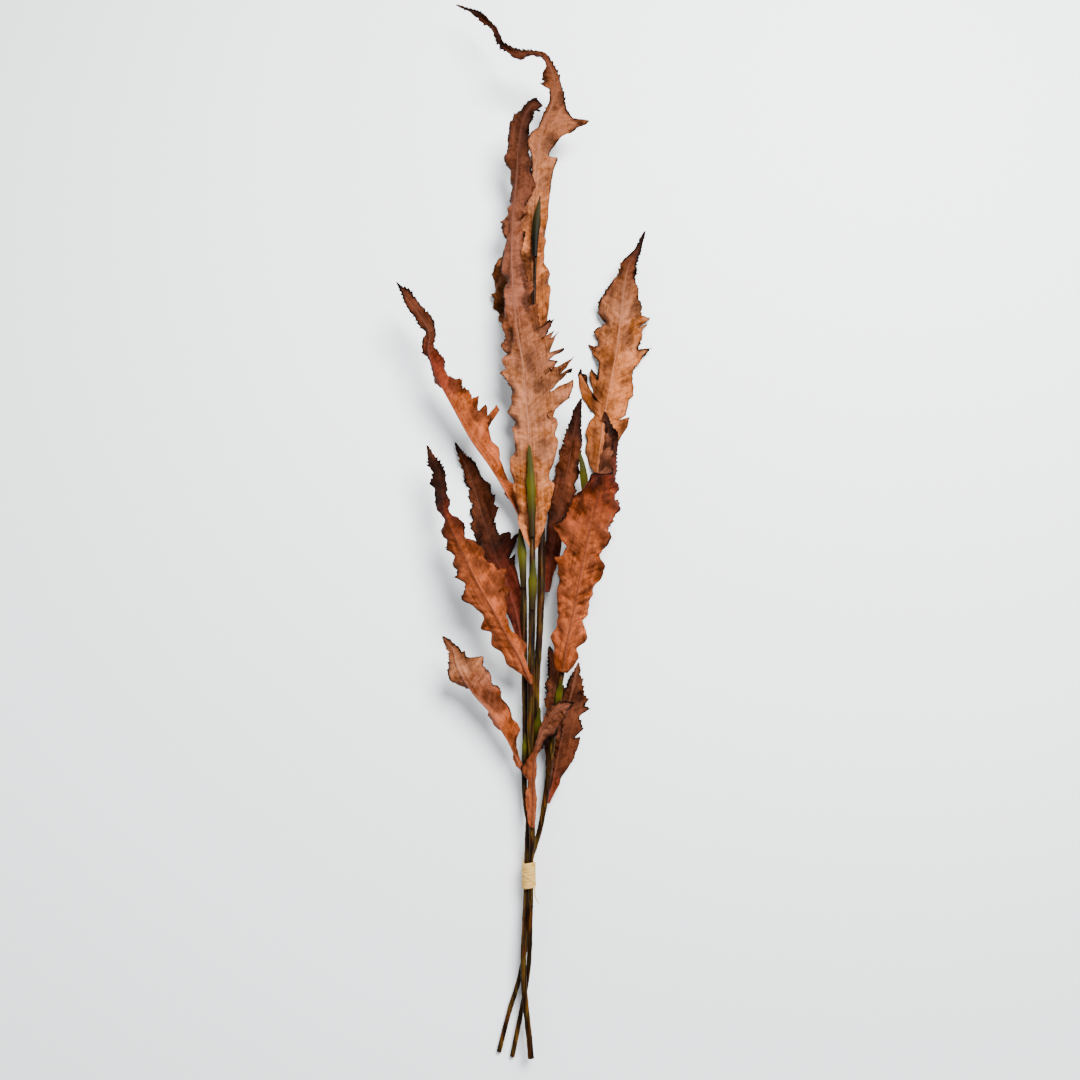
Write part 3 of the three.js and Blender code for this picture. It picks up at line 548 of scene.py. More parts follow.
        under=[(0, TAN), (0.6, MAUVE), (0.85, MAUVE), (1, SOOT)],
        left_tone_and_shade=[(0, 0.95), (0.6, 0.8), (0.8, 0.7)],
        right_tone_and_shade=[(0, 1), (0.7, 0.8), (0.85, 0.45)],
    ),
    "leaf_left_front": dict(
        rib=[
            (2, 331, 36.5), (-9, 355, 42), (-21, 375, 47), (-36, 402, 51), (-50, 426, 53), (-61, 449, 54),
            (-72, 471, 52), (-81, 493, 49), (-86, 517, 45), (-92, 541, 42), (-100, 561, 42),
        ],
        left=[
            (0, 1.5), (8, 5), (18, 10), (37, 14), (60, 15), (68, 18), (75, 12), (88, 13), (102, 20),
            (108, 13), (113, 10), (120, 16), (126, 12), (138, 16), (144, 11), (153, 13), (157, 8),
            (170, 11), (176, 8), (190, 11), (200, 8), (213, 9), (222, 6), (235, 6), (245, 3),
        ],
        right=[
            (0, 1.5), (8, 5), (20, 9), (39, 11), (57, 10), (72, 13), (84, 17), (90, 25), (94, 20),
            (108, 34), (111, 24), (122, 27), (126, 21), (146, 19), (164, 15), (172, 11), (188, 9),
            (200, 11), (206, 8), (222, 8), (234, 6), (245, 3),
        ],
        bends=[
            (0, 0, -28, 0, -35, 0), (60, 0, -15, -8, -28, -18), (110, 0, -5, 0, -10, -5),
            (150, 0, -18, -28, -18, -28), (200, 0, -38, -45, -38, -40), (255, 0, 0, 0, 0, 0),
        ],
        slot="dried_leaf_orange", back_up=True, ragged=0.3,
        top=[(0, CORAL), (0.55, CORAL), (0.7, RUST), (0.8, UMBER), (1, BROWN)],
        under=[(0, TAN), (0.6, BROWN), (1, SOOT)],
        left_tone_and_shade=[(0, 1), (0.3, 0.85), (0.5, 0.55), (0.8, 0.6)],
        right_tone_and_shade=[(0, 1), (0.35, 1.05), (0.55, 0.8), (0.8, 0.7)],
    ),
    "leaf_left_dark": dict(
        rib=[
            (-8, 373, 27.4), (-13, 400, 24), (-23, 432, 17), (-35, 462, 9), (-45, 490, 1), (-55, 524, 0.4),
            (-63, 547, 3), (-76, 574, 9),
        ],
        left=[
            (0, 3), (30, 10), (55, 13), (85, 14), (112, 14), (129, 14), (135, 9), (145, 10), (150, 7),
            (160, 9), (166, 5), (175, 7), (182, 5), (198, 4),
        ],
        right=[
            (0, 3), (19, 6), (54, 11), (72, 12), (88, 22), (84, 12), (105, 30), (101, 20), (112, 20),
            (113, 11), (126, 9), (139, 16), (143, 12), (152, 16), (156, 12), (166, 15), (173, 11),
            (190, 10), (200, 4),
        ],
        bends=[
            (0, 0, -10, 0, -10, 0), (60, 0, 0, -12, 5, -12), (110, 0, -4, -6, 0, -6),
            (160, 0, -8, -15, -8, -15), (215, 0, 0, 0, 0, 0),
        ],
        slot="dried_leaf_dark", back_up=False, ragged=0.35,
        top=[(0, RUST), (0.3, RUST), (0.45, UMBER), (0.7, BROWN), (1, BROWN)],
        under=[(0, UMBER), (1, SOOT)],
        left_tone_and_shade=[(0, 0.5), (0.5, 0.7), (0.8, 1)],
        right_tone_and_shade=[(0, 0.6), (0.45, 0.5), (0.8, 0.8)],
    ),
    "leaf_left_low": dict(
        rib=[
            (-6.5, 251, 23.5), (-15, 269, 28), (-25, 287, 32), (-37, 305, 35), (-50, 319, 37), (-61, 335, 39),
            (-68, 350, 40), (-71, 362, 41), (-81, 375, 44),
        ],
        left=[
            (0, 2), (20, 6), (50, 10), (80, 11), (100, 10), (108, 11), (116, 13), (122, 9), (130, 5),
            (142, 3),
        ],
        right=[
            (0, 2), (14, 4), (24, 10), (34, 16), (47, 17), (58, 18), (69, 24), (78, 21), (94, 30), (97, 25),
            (105, 22), (115, 26), (118, 20), (122, 12), (131, 5), (142, 3),
        ],
        bends=[
            (0, 0, -60, 0, -15, 0), (30, 0, -115, 0, -25, -8), (90, 0, -105, 0, -12, -12),
            (112, 0, -30, 0, 8, -12), (149, 0, 0, 0, 0, 0),
        ],
        slot="dried_leaf_orange", back_up=False, ragged=0.4,
        top=[(0, CORAL), (0.35, CORAL), (0.6, MAUVE), (0.8, TAN), (1, BROWN)],
        under=[(0, BROWN), (1, UMBER)],
        left_tone_and_shade=[(0, 0.7), (1, 0.9)],
        right_tone_and_shade=[(0, 0.85), (0.6, 1), (0.8, 1.15)],
    ),
    "leaf_front_low": dict(
        rib=[
            (3, 201, 27), (4, 226, 31), (4, 253, 35), (7, 276, 39), (15, 294, 42.5), (26, 308, 45.5),
            (41, 314, 47),
        ],
        left=[
            (0, 2), (10, 8), (20, 9), (34, 9), (45, 9), (54, 12), (60, 7), (77, 5), (98, 5), (106, 6),
            (116, 5), (125, 3),
        ],
        right=[(0, 2), (17, 4), (38, 5), (51, 6), (73, 6), (88, 8), (95, 12), (106, 14), (116, 12), (124, 5)],
        bends=[
            (0, 0, -20, 0, -30, 0), (50, 0, -28, -15, -60, -20), (85, 0, -35, -30, -35, -30),
            (131, 0, 0, 0, 0, 0),
        ],
        slot="dried_leaf_orange", back_up=True, ragged=0.4,
        top=[(0, CORAL), (0.45, CORAL), (0.6, MAUVE), (1, MAUVE)],
        under=[(0, BROWN), (1, UMBER)],
        left_tone_and_shade=[(0, 0.9), (0.6, 0.8), (1, 1.1)],
        right_tone_and_shade=[(0, 0.85), (0.6, 0.8), (1, 1.1)],
    ),
    "leaf_right_low": dict(
        rib=[(17, 222, 12.5), (23, 247, 6), (29, 275, 1), (35, 303, 0.4), (41, 327, 4), (47, 353, 11)],
        left=[(0, 2), (20, 6), (48, 9), (56, 8), (77, 11), (83, 8), (105, 10), (110, 7), (118, 6), (128, 3)],
        right=[
            (0, 2), (13, 5), (25, 8), (35, 11), (42, 13), (55, 18), (68, 21), (65, 13), (72, 18),
            (80, 18), (86, 14), (96, 21), (98, 15), (104, 17), (108, 12), (118, 9), (128, 4),
        ],
        bends=[(0, 0, 0, 0, 0, 0), (60, 0, -5, -8, -5, -16), (135, 0, 0, 0, 0, 0)],
        slot="dried_leaf_dark", back_up=False, ragged=0.2,
        top=[(0, RUST), (0.3, BROWN), (0.6, BROWN), (1, MAUVE)],
        under=[(0, UMBER), (1, SOOT)],
        left_tone_and_shade=[(0, 0.9), (1, 0.9)],
        right_tone_and_shade=[(0, 1), (0.5, 0.8), (1, 0.9)],
    ),
    "leaf_back_low": dict(
        rib=[(18, 236, 14.5), (21, 266, 14), (24, 298, 14), (25, 322, 14), (22, 347, 15), (19, 368, 17)],
        left=[
            (0, 2), (15, 5), (36, 7), (60, 10), (66, 8), (82, 12), (88, 9), (98, 10), (104, 6), (114, 5),
            (126, 3),
        ],
        right=[(0, 2), (20, 5), (46, 8), (69, 9), (75, 7), (93, 9), (98, 7), (111, 8), (126, 4)],
        bends=[(0, 0, 10, 0, 10, 0), (60, 0, 18, -18, 18, -18), (135, 0, 0, 0, 0, 0)],
        slot="dried_leaf_dark", back_up=False, ragged=0.2,
        top=[(0, UMBER), (0.5, BROWN), (1, MAUVE)],
        under=[(0, UMBER), (1, SOOT)],
        left_tone_and_shade=[(0, 1), (1, 1)],
        right_tone_and_shade=[(0, 1), (1, 1)],
    ),
}


def with_roots(edge, lean):
    """Where each edge point's side vein starts on the rib, how far along the point lies, and how far
    out. Veins lean forward, and more so where a lobe hangs over the notch in front of it."""
    along, out = np.array(edge, float).T
    roots = along - lean * out
    for i in range(len(edge) - 2, -1, -1):
        roots[i] = min(roots[i], roots[i + 1] - LEAST_ROW_STEP)
        if out[i + 1] > out[i] - NOTCH_DEPTH:
            continue
        share = out[i + 1] / out[i]
        roots[i] = min(roots[i], (along[i + 1] - NOTCH_ROOM - along[i] * share) / (1 - share))
    last = -LEAST_ROW_STEP
    for i, root in enumerate(roots):
        last = max(last + LEAST_ROW_STEP, root)
        roots[i] = last
    return roots, along, out


def wander(rng, length, step):
    """A smooth random line: a function of the distance, between -1 and 1, with a new value each step."""
    values = rng.uniform(-1, 1, int(length / step) + 4)

    def read(at):
        share = np.clip(np.asarray(at) / step + 1, 0, len(values) - 1.001)
        low = share.astype(int)
        ease = share - low
        ease = ease * ease * (3 - 2 * ease)
        return values[low] * (1 - ease) + values[low + 1] * ease

    return read


def ragged_margin(along, out, length, start, rng):
    """Adds small teeth that point forward, from a share of the length onwards, and a slow waver."""
    distance = np.concatenate([[0], np.cumsum(np.hypot(np.diff(along), np.diff(out)))])
    marks = np.cumsum(rng.uniform(*TOOTH_LENGTHS, int(distance[-1] / TOOTH_LENGTHS[0]) + 3))
    tooth = np.searchsorted(marks, distance)
    ends = np.concatenate([[0], marks])
    share = (distance - ends[tooth]) / (ends[tooth + 1] - ends[tooth])
    depth = rng.uniform(0.15, 1, len(ends))[tooth] ** 1.5 * TOOTH_DEPTH
    rough = np.clip((along / length - start) / 0.15, 0, 1) * np.clip((length - along) / 12, 0, 1)
    saw = (share ** 1.6 - 0.35) * depth * rough
    waver = wander(rng, distance[-1], 9)(distance) * np.clip(along / 30, 0, 1) * 0.7
    room = np.clip(out * 0.25, 0, 3)
    change = np.clip(saw + waver, -room, room)
    return along + np.maximum(saw, 0) * 0.7, out + change


def column_reach(out):
    """How far out each column of a half blade lies: close together beside the rib, then even."""
    shares = RIB_COLUMNS / RIB_COLUMNS[-1]
    near = np.minimum(RIB_COLUMNS[None, :], 0.4 * out[:, None] * shares[None, :])
    far = near[:, -1:] + (out[:, None] - near[:, -1:]) * FAR_SHARES[None, :]
    return np.hstack([near, far])


def unit(vectors):
    """The same vectors, each of length one."""
    return vectors / np.maximum(np.linalg.norm(vectors, axis=-1, keepdims=True), 1e-12)


def carried_frames(places, along):
    """The way on and the upward normal at each place of a line, carried along without twist."""
    on = unit(np.gradient(places, along, axis=0))
    up = np.zeros_like(on)
    normal = np.array([0.0, 0.0, 1.0])
    for i, way in enumerate(on):
        normal = unit(normal - way * normal.dot(way))
        up[i] = normal
    return on, up


def turn(vectors, axes, angles):
    """Turns vectors that stand square on their axes."""
    return vectors * np.cos(angles)[..., None] + np.cross(axes, vectors) * np.sin(angles)[..., None]


def grid_normals(grid):
    """The way that a grid of places faces at each place."""
    along = np.gradient(grid, axis=0)
    across = np.gradient(grid, axis=1)
    return unit(np.cross(across, along))


def grid_faces(number):
    """Faces of four points each, from the numbers of a grid's points."""
    corners = [number[:-1, :-1], number[:-1, 1:], number[1:, 1:], number[1:, :-1]]
    return np.stack(corners, axis=-1).reshape(-1, 4)


def margin_distance(along, out, edge_along, edge_out):
    """How far each place of a flat half blade lies from its margin."""
    nearest = np.full(along.shape, 1e9)
    for i in range(0, len(edge_along), 64):
        far_along = along[..., None] - edge_along[i:i + 64]
        far_out = out[..., None] - edge_out[i:i + 64]
        nearest = np.minimum(nearest, np.sqrt(far_along ** 2 + far_out ** 2).min(axis=-1))
    return nearest


def flat_blade(left, right, length, ragged, lean, rng):
    """A blade laid flat, in rows from its left margin to its right one: where each row starts on the
    rib, and how far along the rib, out from it and in from the margin each place lies."""
    edges = [with_roots([*edge, (length, TIP_HALF_WIDTH)], lean) for edge in (left, right)]
    even = np.arange(0, length, ROW_STEP)
    roots = np.unique(np.concatenate([even, edges[0][0], edges[1][0], [length]]).round(2))
    roots = roots[(roots >= 0) & (roots <= length)]
    halves = []
    for edge_roots, edge_along, edge_out in edges:
        tip_along = np.interp(roots, edge_roots, edge_along)
        tip_out = np.interp(roots, edge_roots, edge_out)
        tip_along, tip_out = ragged_margin(tip_along, tip_out, length, ragged, rng)
        reach = column_reach(tip_out)
        along = roots[:, None] + (tip_along - roots)[:, None] * reach / tip_out[:, None]
        halves.append((along, reach, margin_distance(along, reach, tip_along, tip_out)))
    centre = roots[:, None]
    (left_along, left_out, left_margin), (right_along, right_out, right_margin) = halves
    along = np.hstack([left_along[:, ::-1], centre, right_along])
    out = np.hstack([-left_out[:, ::-1], centre * 0, right_out])
    half_width = np.minimum(left_out[:, -1:], right_out[:, -1:])
    margin = np.hstack([left_margin[:, ::-1], half_width, right_margin])
    return roots, along, out, margin


def bent_blade(rib_line, along, out, bends, ruffle):
    """Carries a flat blade along its rib, with each half folded and curled as the bends say."""
    places, distance = rib_line
    on, up = carried_frames(places, distance)
    reach = np.abs(out)
    side = np.where(out < 0, -1.0, 1.0)
    rows = np.array(bends, float)
    roll, left_fold, left_curl, right_fold, right_curl = (
        np.radians(np.interp(along, rows[:, 0], rows[:, column])) for column in range(1, 6)
    )
    fold = np.where(side < 0, left_fold, right_fold)
    curl = np.where(side < 0, left_curl, right_curl) / 10
    curl = np.where(np.abs(curl) < 1e-6, 1e-6, curl)
    aside = (np.sin(fold + curl * reach) - np.sin(fold)) / curl
    wave = ruffle * (reach / 20) ** 2 * np.sin(2 * np.pi * along / RUFFLE_LENGTH + side)
    raised = (np.cos(fold) - np.cos(fold + curl * reach)) / curl + wave

    def at(values):
        return np.stack([np.interp(along, distance, values[:, axis]) for axis in range(3)], axis=-1)

    way = unit(at(on))
    turned = turn(unit(at(up)), way, -roll)
    across = np.cross(way, turned)
    return at(places) + across * (side * aside)[..., None] + turned * raised[..., None]


def side_veins(roots, out, length, rng):
    """How near each place is to a side vein, 1 on it, and how far the blade swells between two."""
    reach = np.abs(out)
    share = reach / np.maximum(reach.max(axis=1, keepdims=True), 1)
    veins = np.cumsum(rng.uniform(0.7, 1.3, int(length / VEIN_SPACING) + 3)) * VEIN_SPACING
    starts = np.concatenate([[0], veins])
    index = np.searchsorted(veins, roots)
    part = ((roots - starts[index]) / (starts[index + 1] - starts[index]))[:, None]
    vein = np.exp(-((0.5 - np.abs(part - 0.5)) * VEIN_SPACING / 0.55) ** 2) * np.clip(1.1 - share, 0, 1)
    swell = np.sin(np.pi * part) ** 2 * np.sin(np.pi * np.clip(share, 0, 1)) ** 0.8 * SWELL_HEIGHT
    return vein, swell


def dried_folds(along, out, margin, length, rng):
    """How far drying has moved each place off the blade's face: broad crumples, creases beside the
    rib, patches of fine wrinkles, and margins that curl up or down."""
    reach = np.abs(out)
    crumple = np.zeros_like(along)
    for _ in range(CRUMPLES):
        wavelength = rng.uniform(*CRUMPLE_LENGTHS)
        direction = rng.uniform(0, np.pi)
        phase = rng.uniform(0, 2 * np.pi)
        ripple = along * np.cos(direction) + out * np.sin(direction)
        crumple += np.sin(2 * np.pi * ripple / wavelength + phase) * wavelength * CRUMPLE_STEEPNESS
    crumple *= np.clip(reach / 9, 0, 1)
    drift = wander(rng, length, 34)(along) * 0.9
    creases = np.sin(2 * np.pi * (reach / CREASE_SPACING + drift)) * np.clip(reach / 6, 0, 1) * CREASE_HEIGHT
    wrinkles = np.zeros_like(along)
    for _ in range(WRINKLE_SETS):
        slant = rng.uniform(-0.9, 0.9)
        ripple = along * np.cos(slant) + out * np.sin(slant) + wander(rng, length, 15)(along) * 4
        patch = np.clip(wander(rng, length, 30)(along) * 1.6, 0, 1)
        spacing = rng.uniform(*WRINKLE_SPACINGS)
        wrinkles += (1 - np.abs(np.sin(np.pi * ripple / spacing))) ** 2 * patch * WRINKLE_HEIGHT
    wrinkles *= np.clip(reach / 4, 0, 1)
    lift = np.where(out < 0, wander(rng, length, 10)(along), wander(rng, length, 10)(along + 5))
    curled = lift * np.clip(1 - margin / CURLED_WIDTH, 0, 1) ** 2 * CURL_HEIGHT * np.clip(reach / 8, 0, 1)
    return crumple + creases + wrinkles + curled


def blade(rib, left, right, bends, thickness, seed, back_up=False, ragged=0.5, ruffle=1.0, relief=1.0,
          lean=VEIN_LEAN):
    """A thin closed blade, as rows of points: its front and back, and what the material reads."""
    rng = np.random.default_rng(seed)
    rib_line = smooth_line(rib)
    length = rib_line[1][-1]
    roots, along, out, margin = flat_blade(left, right, length, ragged, lean, rng)
    vein, swell = side_veins(roots, out, length, rng)
    facing = -1 if back_up else 1
    folds = (swell * facing + dried_folds(along, out, margin, length, rng)) * relief
    grid = bent_blade(rib_line, along, out, bends, ruffle)
    grid = grid + grid_normals(grid) * folds[..., None]
    grid[..., 2] = np.maximum(grid[..., 2], thickness / 2)

    reach = np.abs(out)
    rib_radius = RIB_RADIUS * np.clip(1 - roots[:, None] / length, 0.12, 1)
    rib_height = np.sqrt(np.clip(1 - (reach / rib_radius) ** 2, 0, 1)) * rib_radius
    ridge = rib_height + vein * VEIN_HEIGHT * np.clip(reach / 1.5, 0, 1)
    front_ridge, back_ridge = (ridge, 0) if back_up else (0, ridge)
    half_thickness = thickness / 2 * np.clip(0.35 + margin / 1.6, 0.35, 1)
    normals = grid_normals(grid)
    front = grid + normals * (half_thickness + front_ridge)[..., None]
    back = grid - normals * (half_thickness + back_ridge)[..., None]
    facts = dict(
        along=along / length, flat_out=out, flat_along=along, margin=margin, vein=vein,
        relief=folds * facing,
    )
    return front, back, facts


def blade_mesh(name, front, back, facts):
    """Closes the two faces of a blade into one mesh, with its facts as attributes."""
    rows, columns, _ = front.shape
    points = np.vstack([front.reshape(-1, 3), back.reshape(-1, 3)])
    points[:, 2] = np.maximum(points[:, 2], 0)
    number = np.arange(rows * columns).reshape(rows, columns)
    under = number + rows * columns
    upper = grid_faces(number)
    lower = (upper + rows * columns)[:, ::-1]
    rim = np.concatenate([number[0, :], number[1:, -1], number[-1, -2::-1], number[-2:0:-1, 0]])
    next_rim = np.roll(rim, -1)
    wall = np.stack([rim + rows * columns, next_rim + rows * columns, next_rim, rim], axis=-1)
    mesh = bpy.data.meshes.new(name)
    mesh.from_pydata((points - MIDDLE) * MM, [], np.vstack([upper, lower, wall]).tolist())
    facts = dict(facts, side=np.ones_like(facts["along"]))
    for fact, values in facts.items():
        attribute = mesh.attributes.new(fact, "FLOAT", "POINT")
        below = values * 0 if fact == "side" else values
        attribute.data.foreach_set("value", np.concatenate([values.ravel(), below.ravel()]))
    outline = mesh.attributes.new("on_margin", "FLOAT", "POINT")
    flags = np.zeros(len(points))
    flags[rim] = 1
    outline.data.foreach_set("value", flags)
    outward = mesh.attributes.new("outward", "FLOAT_VECTOR", "POINT")
    away = np.zeros_like(points)
    away[number[:, 0]] = unit(front[:, 0] - front[:, 1])
    away[number[:, -1]] = unit(front[:, -1] - front[:, -2])
    outward.data.foreach_set("vector", away.ravel())
    mesh.polygons.foreach_set("use_smooth", np.ones(len(mesh.polygons), bool))
    mesh.update()
    return mesh


def fact(tree, name):
    """What the mesh says of each place, by the attribute's name."""
    return node(tree, "ShaderNodeAttribute", attribute_name=name).outputs["Fac"]


def between(tree, value, low, high):
    """Eases from 0 at the low value to 1 at the high one."""
    return node(tree, "ShaderNodeMapRange", {"Value": value, "From Min": low, "From Max": high},
                interpolation_type="SMOOTHSTEP").outputs["Result"]


def tinted(tree, colour, saturation, value):
    """A colour made duller or brighter; 1 and 1 leave it as it is."""
    return node(tree, "ShaderNodeHueSaturation", {
        "Saturation": saturation, "Value": value, "Color": colour,
    }).outputs["Color"]


def marked(tree, colour, where, strength, mark):
    """A colour with marks of another one laid over it."""
    return blend(tree, maths(tree, "MULTIPLY", where, strength), colour, mark)


def weighted(tree, *terms):
    """A sum of values, each times its weight."""
    total = 0.0
    for value, weight in terms:
        total = maths(tree, "MULTIPLY_ADD", value, weight, total)
    return total


def strip_place(tree, first, second, scale, third=0.0):
    """A place on a strip laid flat, scaled along each axis."""
    place = node(tree, "ShaderNodeCombineXYZ", {"X": first, "Y": second, "Z": third})
    return stretched(tree, place.outputs["Vector"], scale)


def half_tones_and_shade(tree, share, *halves):
    """How light the left and the right half of a leaf are painted at each share of its length: partly
    their own tone, partly painted shade where a half turns away from the light or lies in shade.
    """
    greys = [ramp(tree, share, [(at, (tone / 2,) * 3 + (1,)) for at, tone in half]) for half in halves]
    return maths(tree, "MULTIPLY", blend(tree, between(tree, fact(tree, "flat_out"), -1.5, 1.5), *greys), 2.0)


def burnt_share(tree, rough):
    """How burnt a leaf is: a ragged band along its margin, broken in places and wider towards the tip."""
    share = fact(tree, "along")
    widest = maths(tree, "MULTIPLY", share, 5.5)
    width = maths(tree, "MULTIPLY_ADD", between(tree, rough, 0.4, 0.62), widest, 0.9)
    there = maths(tree, "MULTIPLY", between(tree, rough, 0.38, 0.52), between(tree, share, 0.1, 0.4))
    return maths(tree, "MULTIPLY", between(tree, fact(tree, "margin"), width, 0.0), there)


def leaf_material(name, top, under, left_tone_and_shade, right_tone_and_shade, back_up):
    """Dry leaf: colours along its length, each half with a tone of its own that is partly painted shade,
    painted shade in the hollows of its folds and painted light on their crests, streaks and freckles,
    and burnt margins."""
    material, tree, shader = new_material(name, 0.6, 0.04)
    out, along, side = fact(tree, "flat_out"), fact(tree, "flat_along"), fact(tree, "side")
    reach = maths(tree, "ABSOLUTE", out)
    feather = maths(tree, "SUBTRACT", along, maths(tree, "MULTIPLY", reach, VEIN_LEAN))
    place = node(tree, "ShaderNodeTexCoord").outputs["Object"]
    patches = noise(tree, place, 38.0, 4.0, 0.6)
    mottle = noise(tree, place, 260.0, 6.0, 0.75)
    specks = noise(tree, place, 1100.0, 2.0)
    fibres = noise(tree, strip_place(tree, out, along, (0.55, 0.03, 9.0), side), 1.0, 4.0, 0.65)
    streaks = noise(tree, strip_place(tree, feather, out, (0.3, 0.07, 9.0), side), 1.0, 3.0)

    wobble = maths(tree, "SUBTRACT", patches, 0.5)
    share = maths(tree, "MULTIPLY_ADD", wobble, 0.35, fact(tree, "along"))
    base = blend(tree, side, ramp(tree, share, under), ramp(tree, share, top))
    # Each half is made lighter or darker: partly its own tone, partly painted shade.
    base = tinted(tree, base, 1.0, half_tones_and_shade(tree, share, left_tone_and_shade, right_tone_and_shade))
    tone = weighted(tree, (streaks, 0.14), (fibres, 0.2), (mottle, 0.26), (patches, 0.4))
    dark, light = tinted(tree, base, 1.08, 0.4), tinted(tree, base, 0.94, 1.35)
    toned = blend(tree, between(tree, tone, 0.4, 0.6), dark, light)
    # Painted shade and light: the colour darkens in the hollows of the folds and lightens on their crests.
    raised = between(tree, fact(tree, "relief"), -2.4, 1.8)
    folded = tinted(tree, toned, 1.0, maths(tree, "MULTIPLY_ADD", raised, 0.8, 0.45))

    vein_light, rib_light = (0.7, 0.4) if back_up else (1.5, 1.4)
    veined = marked(tree, folded, fact(tree, "vein"), 0.22, tinted(tree, base, 0.9, vein_light))
    ribbed = marked(tree, veined, between(tree, reach, 0.9, 0.35), 0.6, tinted(tree, base, 0.85, rib_light))
    freckles = between(tree, specks, 0.66, 0.74)
    freckled = marked(tree, ribbed, freckles, 0.5, tinted(tree, base, 1.0, 0.25))
    dark_edge = burnt_share(tree, weighted(tree, (patches, 0.6), (mottle, 0.4)))
    reddened = marked(tree, freckled, dark_edge, 0.85, tinted(tree, base, 1.1, 0.22))
    burnt = blend(tree, between(tree, dark_edge, 0.5, 0.95), reddened, SOOT)
    tree.links.new(burnt, shader.inputs["Base Color"])
    add_bump(tree, shader, weighted(tree, (mottle, 0.7), (fibres, 0.7)), 0.0018, 0.9)
    return material


def frayed_margin_tree():
    """Geometry Nodes: thin torn fibres that stand out from random places of a blade's margin."""
    tree, given = new_group("frayed margin", {
        "Blade": "Geometry", "Share": "Float", "Longest": "Float", "Leaf": "Material",
    }, "Whole")
    edge = node(tree, "GeometryNodeInputNamedAttribute", {"Name": "on_margin"}, data_type="FLOAT")
    chance = node(tree, "FunctionNodeRandomValue", {"Seed": 5}, data_type="FLOAT")
    few = maths(tree, "LESS_THAN", chance.outputs["Value"], given["Share"])
    chosen = maths(tree, "MULTIPLY", few, edge.outputs["Attribute"])
    outward = node(tree, "GeometryNodeInputNamedAttribute", {"Name": "outward"}, data_type="FLOAT_VECTOR")
    jitter = node(tree, "FunctionNodeRandomValue", {
        0: (-0.6,) * 3, 1: (0.6,) * 3, "Seed": 8,
    }, data_type="FLOAT_VECTOR")
    aim = node(tree, "ShaderNodeVectorMath", {0: outward.outputs["Attribute"], 1: jitter.outputs["Value"]})
    facing = node(tree, "FunctionNodeAlignRotationToVector", {"Vector": aim.outputs["Vector"]}, axis="Z")
    reach = node(tree, "FunctionNodeRandomValue", {2: 0.25, 3: 1.0, "Seed": 11}, data_type="FLOAT")
    length = maths(tree, "MULTIPLY", reach.outputs[1], given["Longest"])
    scale = node(tree, "ShaderNodeCombineXYZ", {"X": 1.0, "Y": 1.0, "Z": length})
    fibre = node(tree, "GeometryNodeMeshCone", {
        "Vertices": 4, "Side Segments": 2, "Radius Top": 0.00003, "Radius Bottom": 0.00016, "Depth": 1.0,
    })
    fibres = node(tree, "GeometryNodeInstanceOnPoints", {
        "Points": given["Blade"], "Selection": chosen, "Instance": fibre.outputs["Mesh"],
        "Rotation": facing.outputs["Rotation"], "Scale": scale.outputs["Vector"],
    })
    both = node(tree, "GeometryNodeJoinGeometry", {"Geometry": given["Blade"]})
    tree.links.new(fibres.outputs["Instances"], both.inputs["Geometry"])
    finish_group(tree, both.outputs["Geometry"], given["Leaf"], "Whole")
    return tree


frayed_margin = frayed_margin_tree()


def leaf_piece(name, slot, top, under, left_tone_and_shade, right_tone_and_shade, seed, **shape):
    """One leaf: its blade, the fibres on its margin and its material."""
    front, back, facts = blade(thickness=LEAF_THICKNESS, seed=seed, **shape)
    leaf = add_object("dried_" + name, blade_mesh(name, front, back, facts))
    modifier = leaf.modifiers.new("frayed margin", "NODES")
    modifier.node_group = frayed_margin
    set_input(modifier, "Share", FIBRE_SHARE)
    set_input(modifier, "Longest", LONGEST_FIBRE * MM)
    skin = leaf_material("dry " + name, top, under, left_tone_and_shade, right_tone_and_shade, shape["back_up"])
    set_input(modifier, "Leaf", skin)
    apply_modifiers(leaf)
    lay_on_floor(leaf)
    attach(leaf, "root")
    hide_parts(name)


for number, (name, look) in enumerate(LEAVES.items()):
    leaf_piece(name, seed=FIRST_LEAF_SEED + number, **look)


# Sheaths
# Narrow pointed leaves, still olive green, each wrapped round the front of its stem at the foot of
# a leaf, with fine lines along it. The highest one has dried nearly black.
FIRST_SHEATH_SEED = 80
SHEATH_THICKNESS = 0.5
SHEATH_CURL = -140
# Each sheath has its greatest half width and its rib, [x, y, z] in millimetres.
SHEATHS = {
    "sheath_top": (4.2, [(4.8, 766, 29.2), (5.4, 788, 31.4), (7.2, 810, 34), (10, 830, 36)]),
    "sheath_front_tall": (5, [(2.6, 470, 40.8), (2, 500, 41.6), (1.2, 526, 42.8), (-0.5, 561, 42.6)]),
    "sheath_left_high": (4.6, [(-6, 422, 30.6), (-6.6, 445, 31.6), (-7.8, 463, 32), (-10, 480, 32.6)]),
    "sheath_right_high": (4, [(54.6, 502, 25.8), (54, 520, 27.4), (52, 540, 30.4), (49.4, 556, 32)]),
    "sheath_middle": (4.8, [(2.4, 400, 38.8), (3, 424, 39.8), (4.4, 449, 40.6)]),
    "sheath_right_front": (3.2, [(25, 306, 34.4), (27.4, 320, 36.8), (29.6, 334, 39.8)]),
    "sheath_low_right": (4, [(5.8, 274, 24.6), (7.6, 292, 25.6), (9.4, 310, 27.4)]),
    "sheath_low_left": (2.6, [(-4.6, 260, 24.8), (-4.2, 272, 25.6), (-3.6, 286, 25.8)]),
}
DARK_SHEATHS = {"sheath_top"}


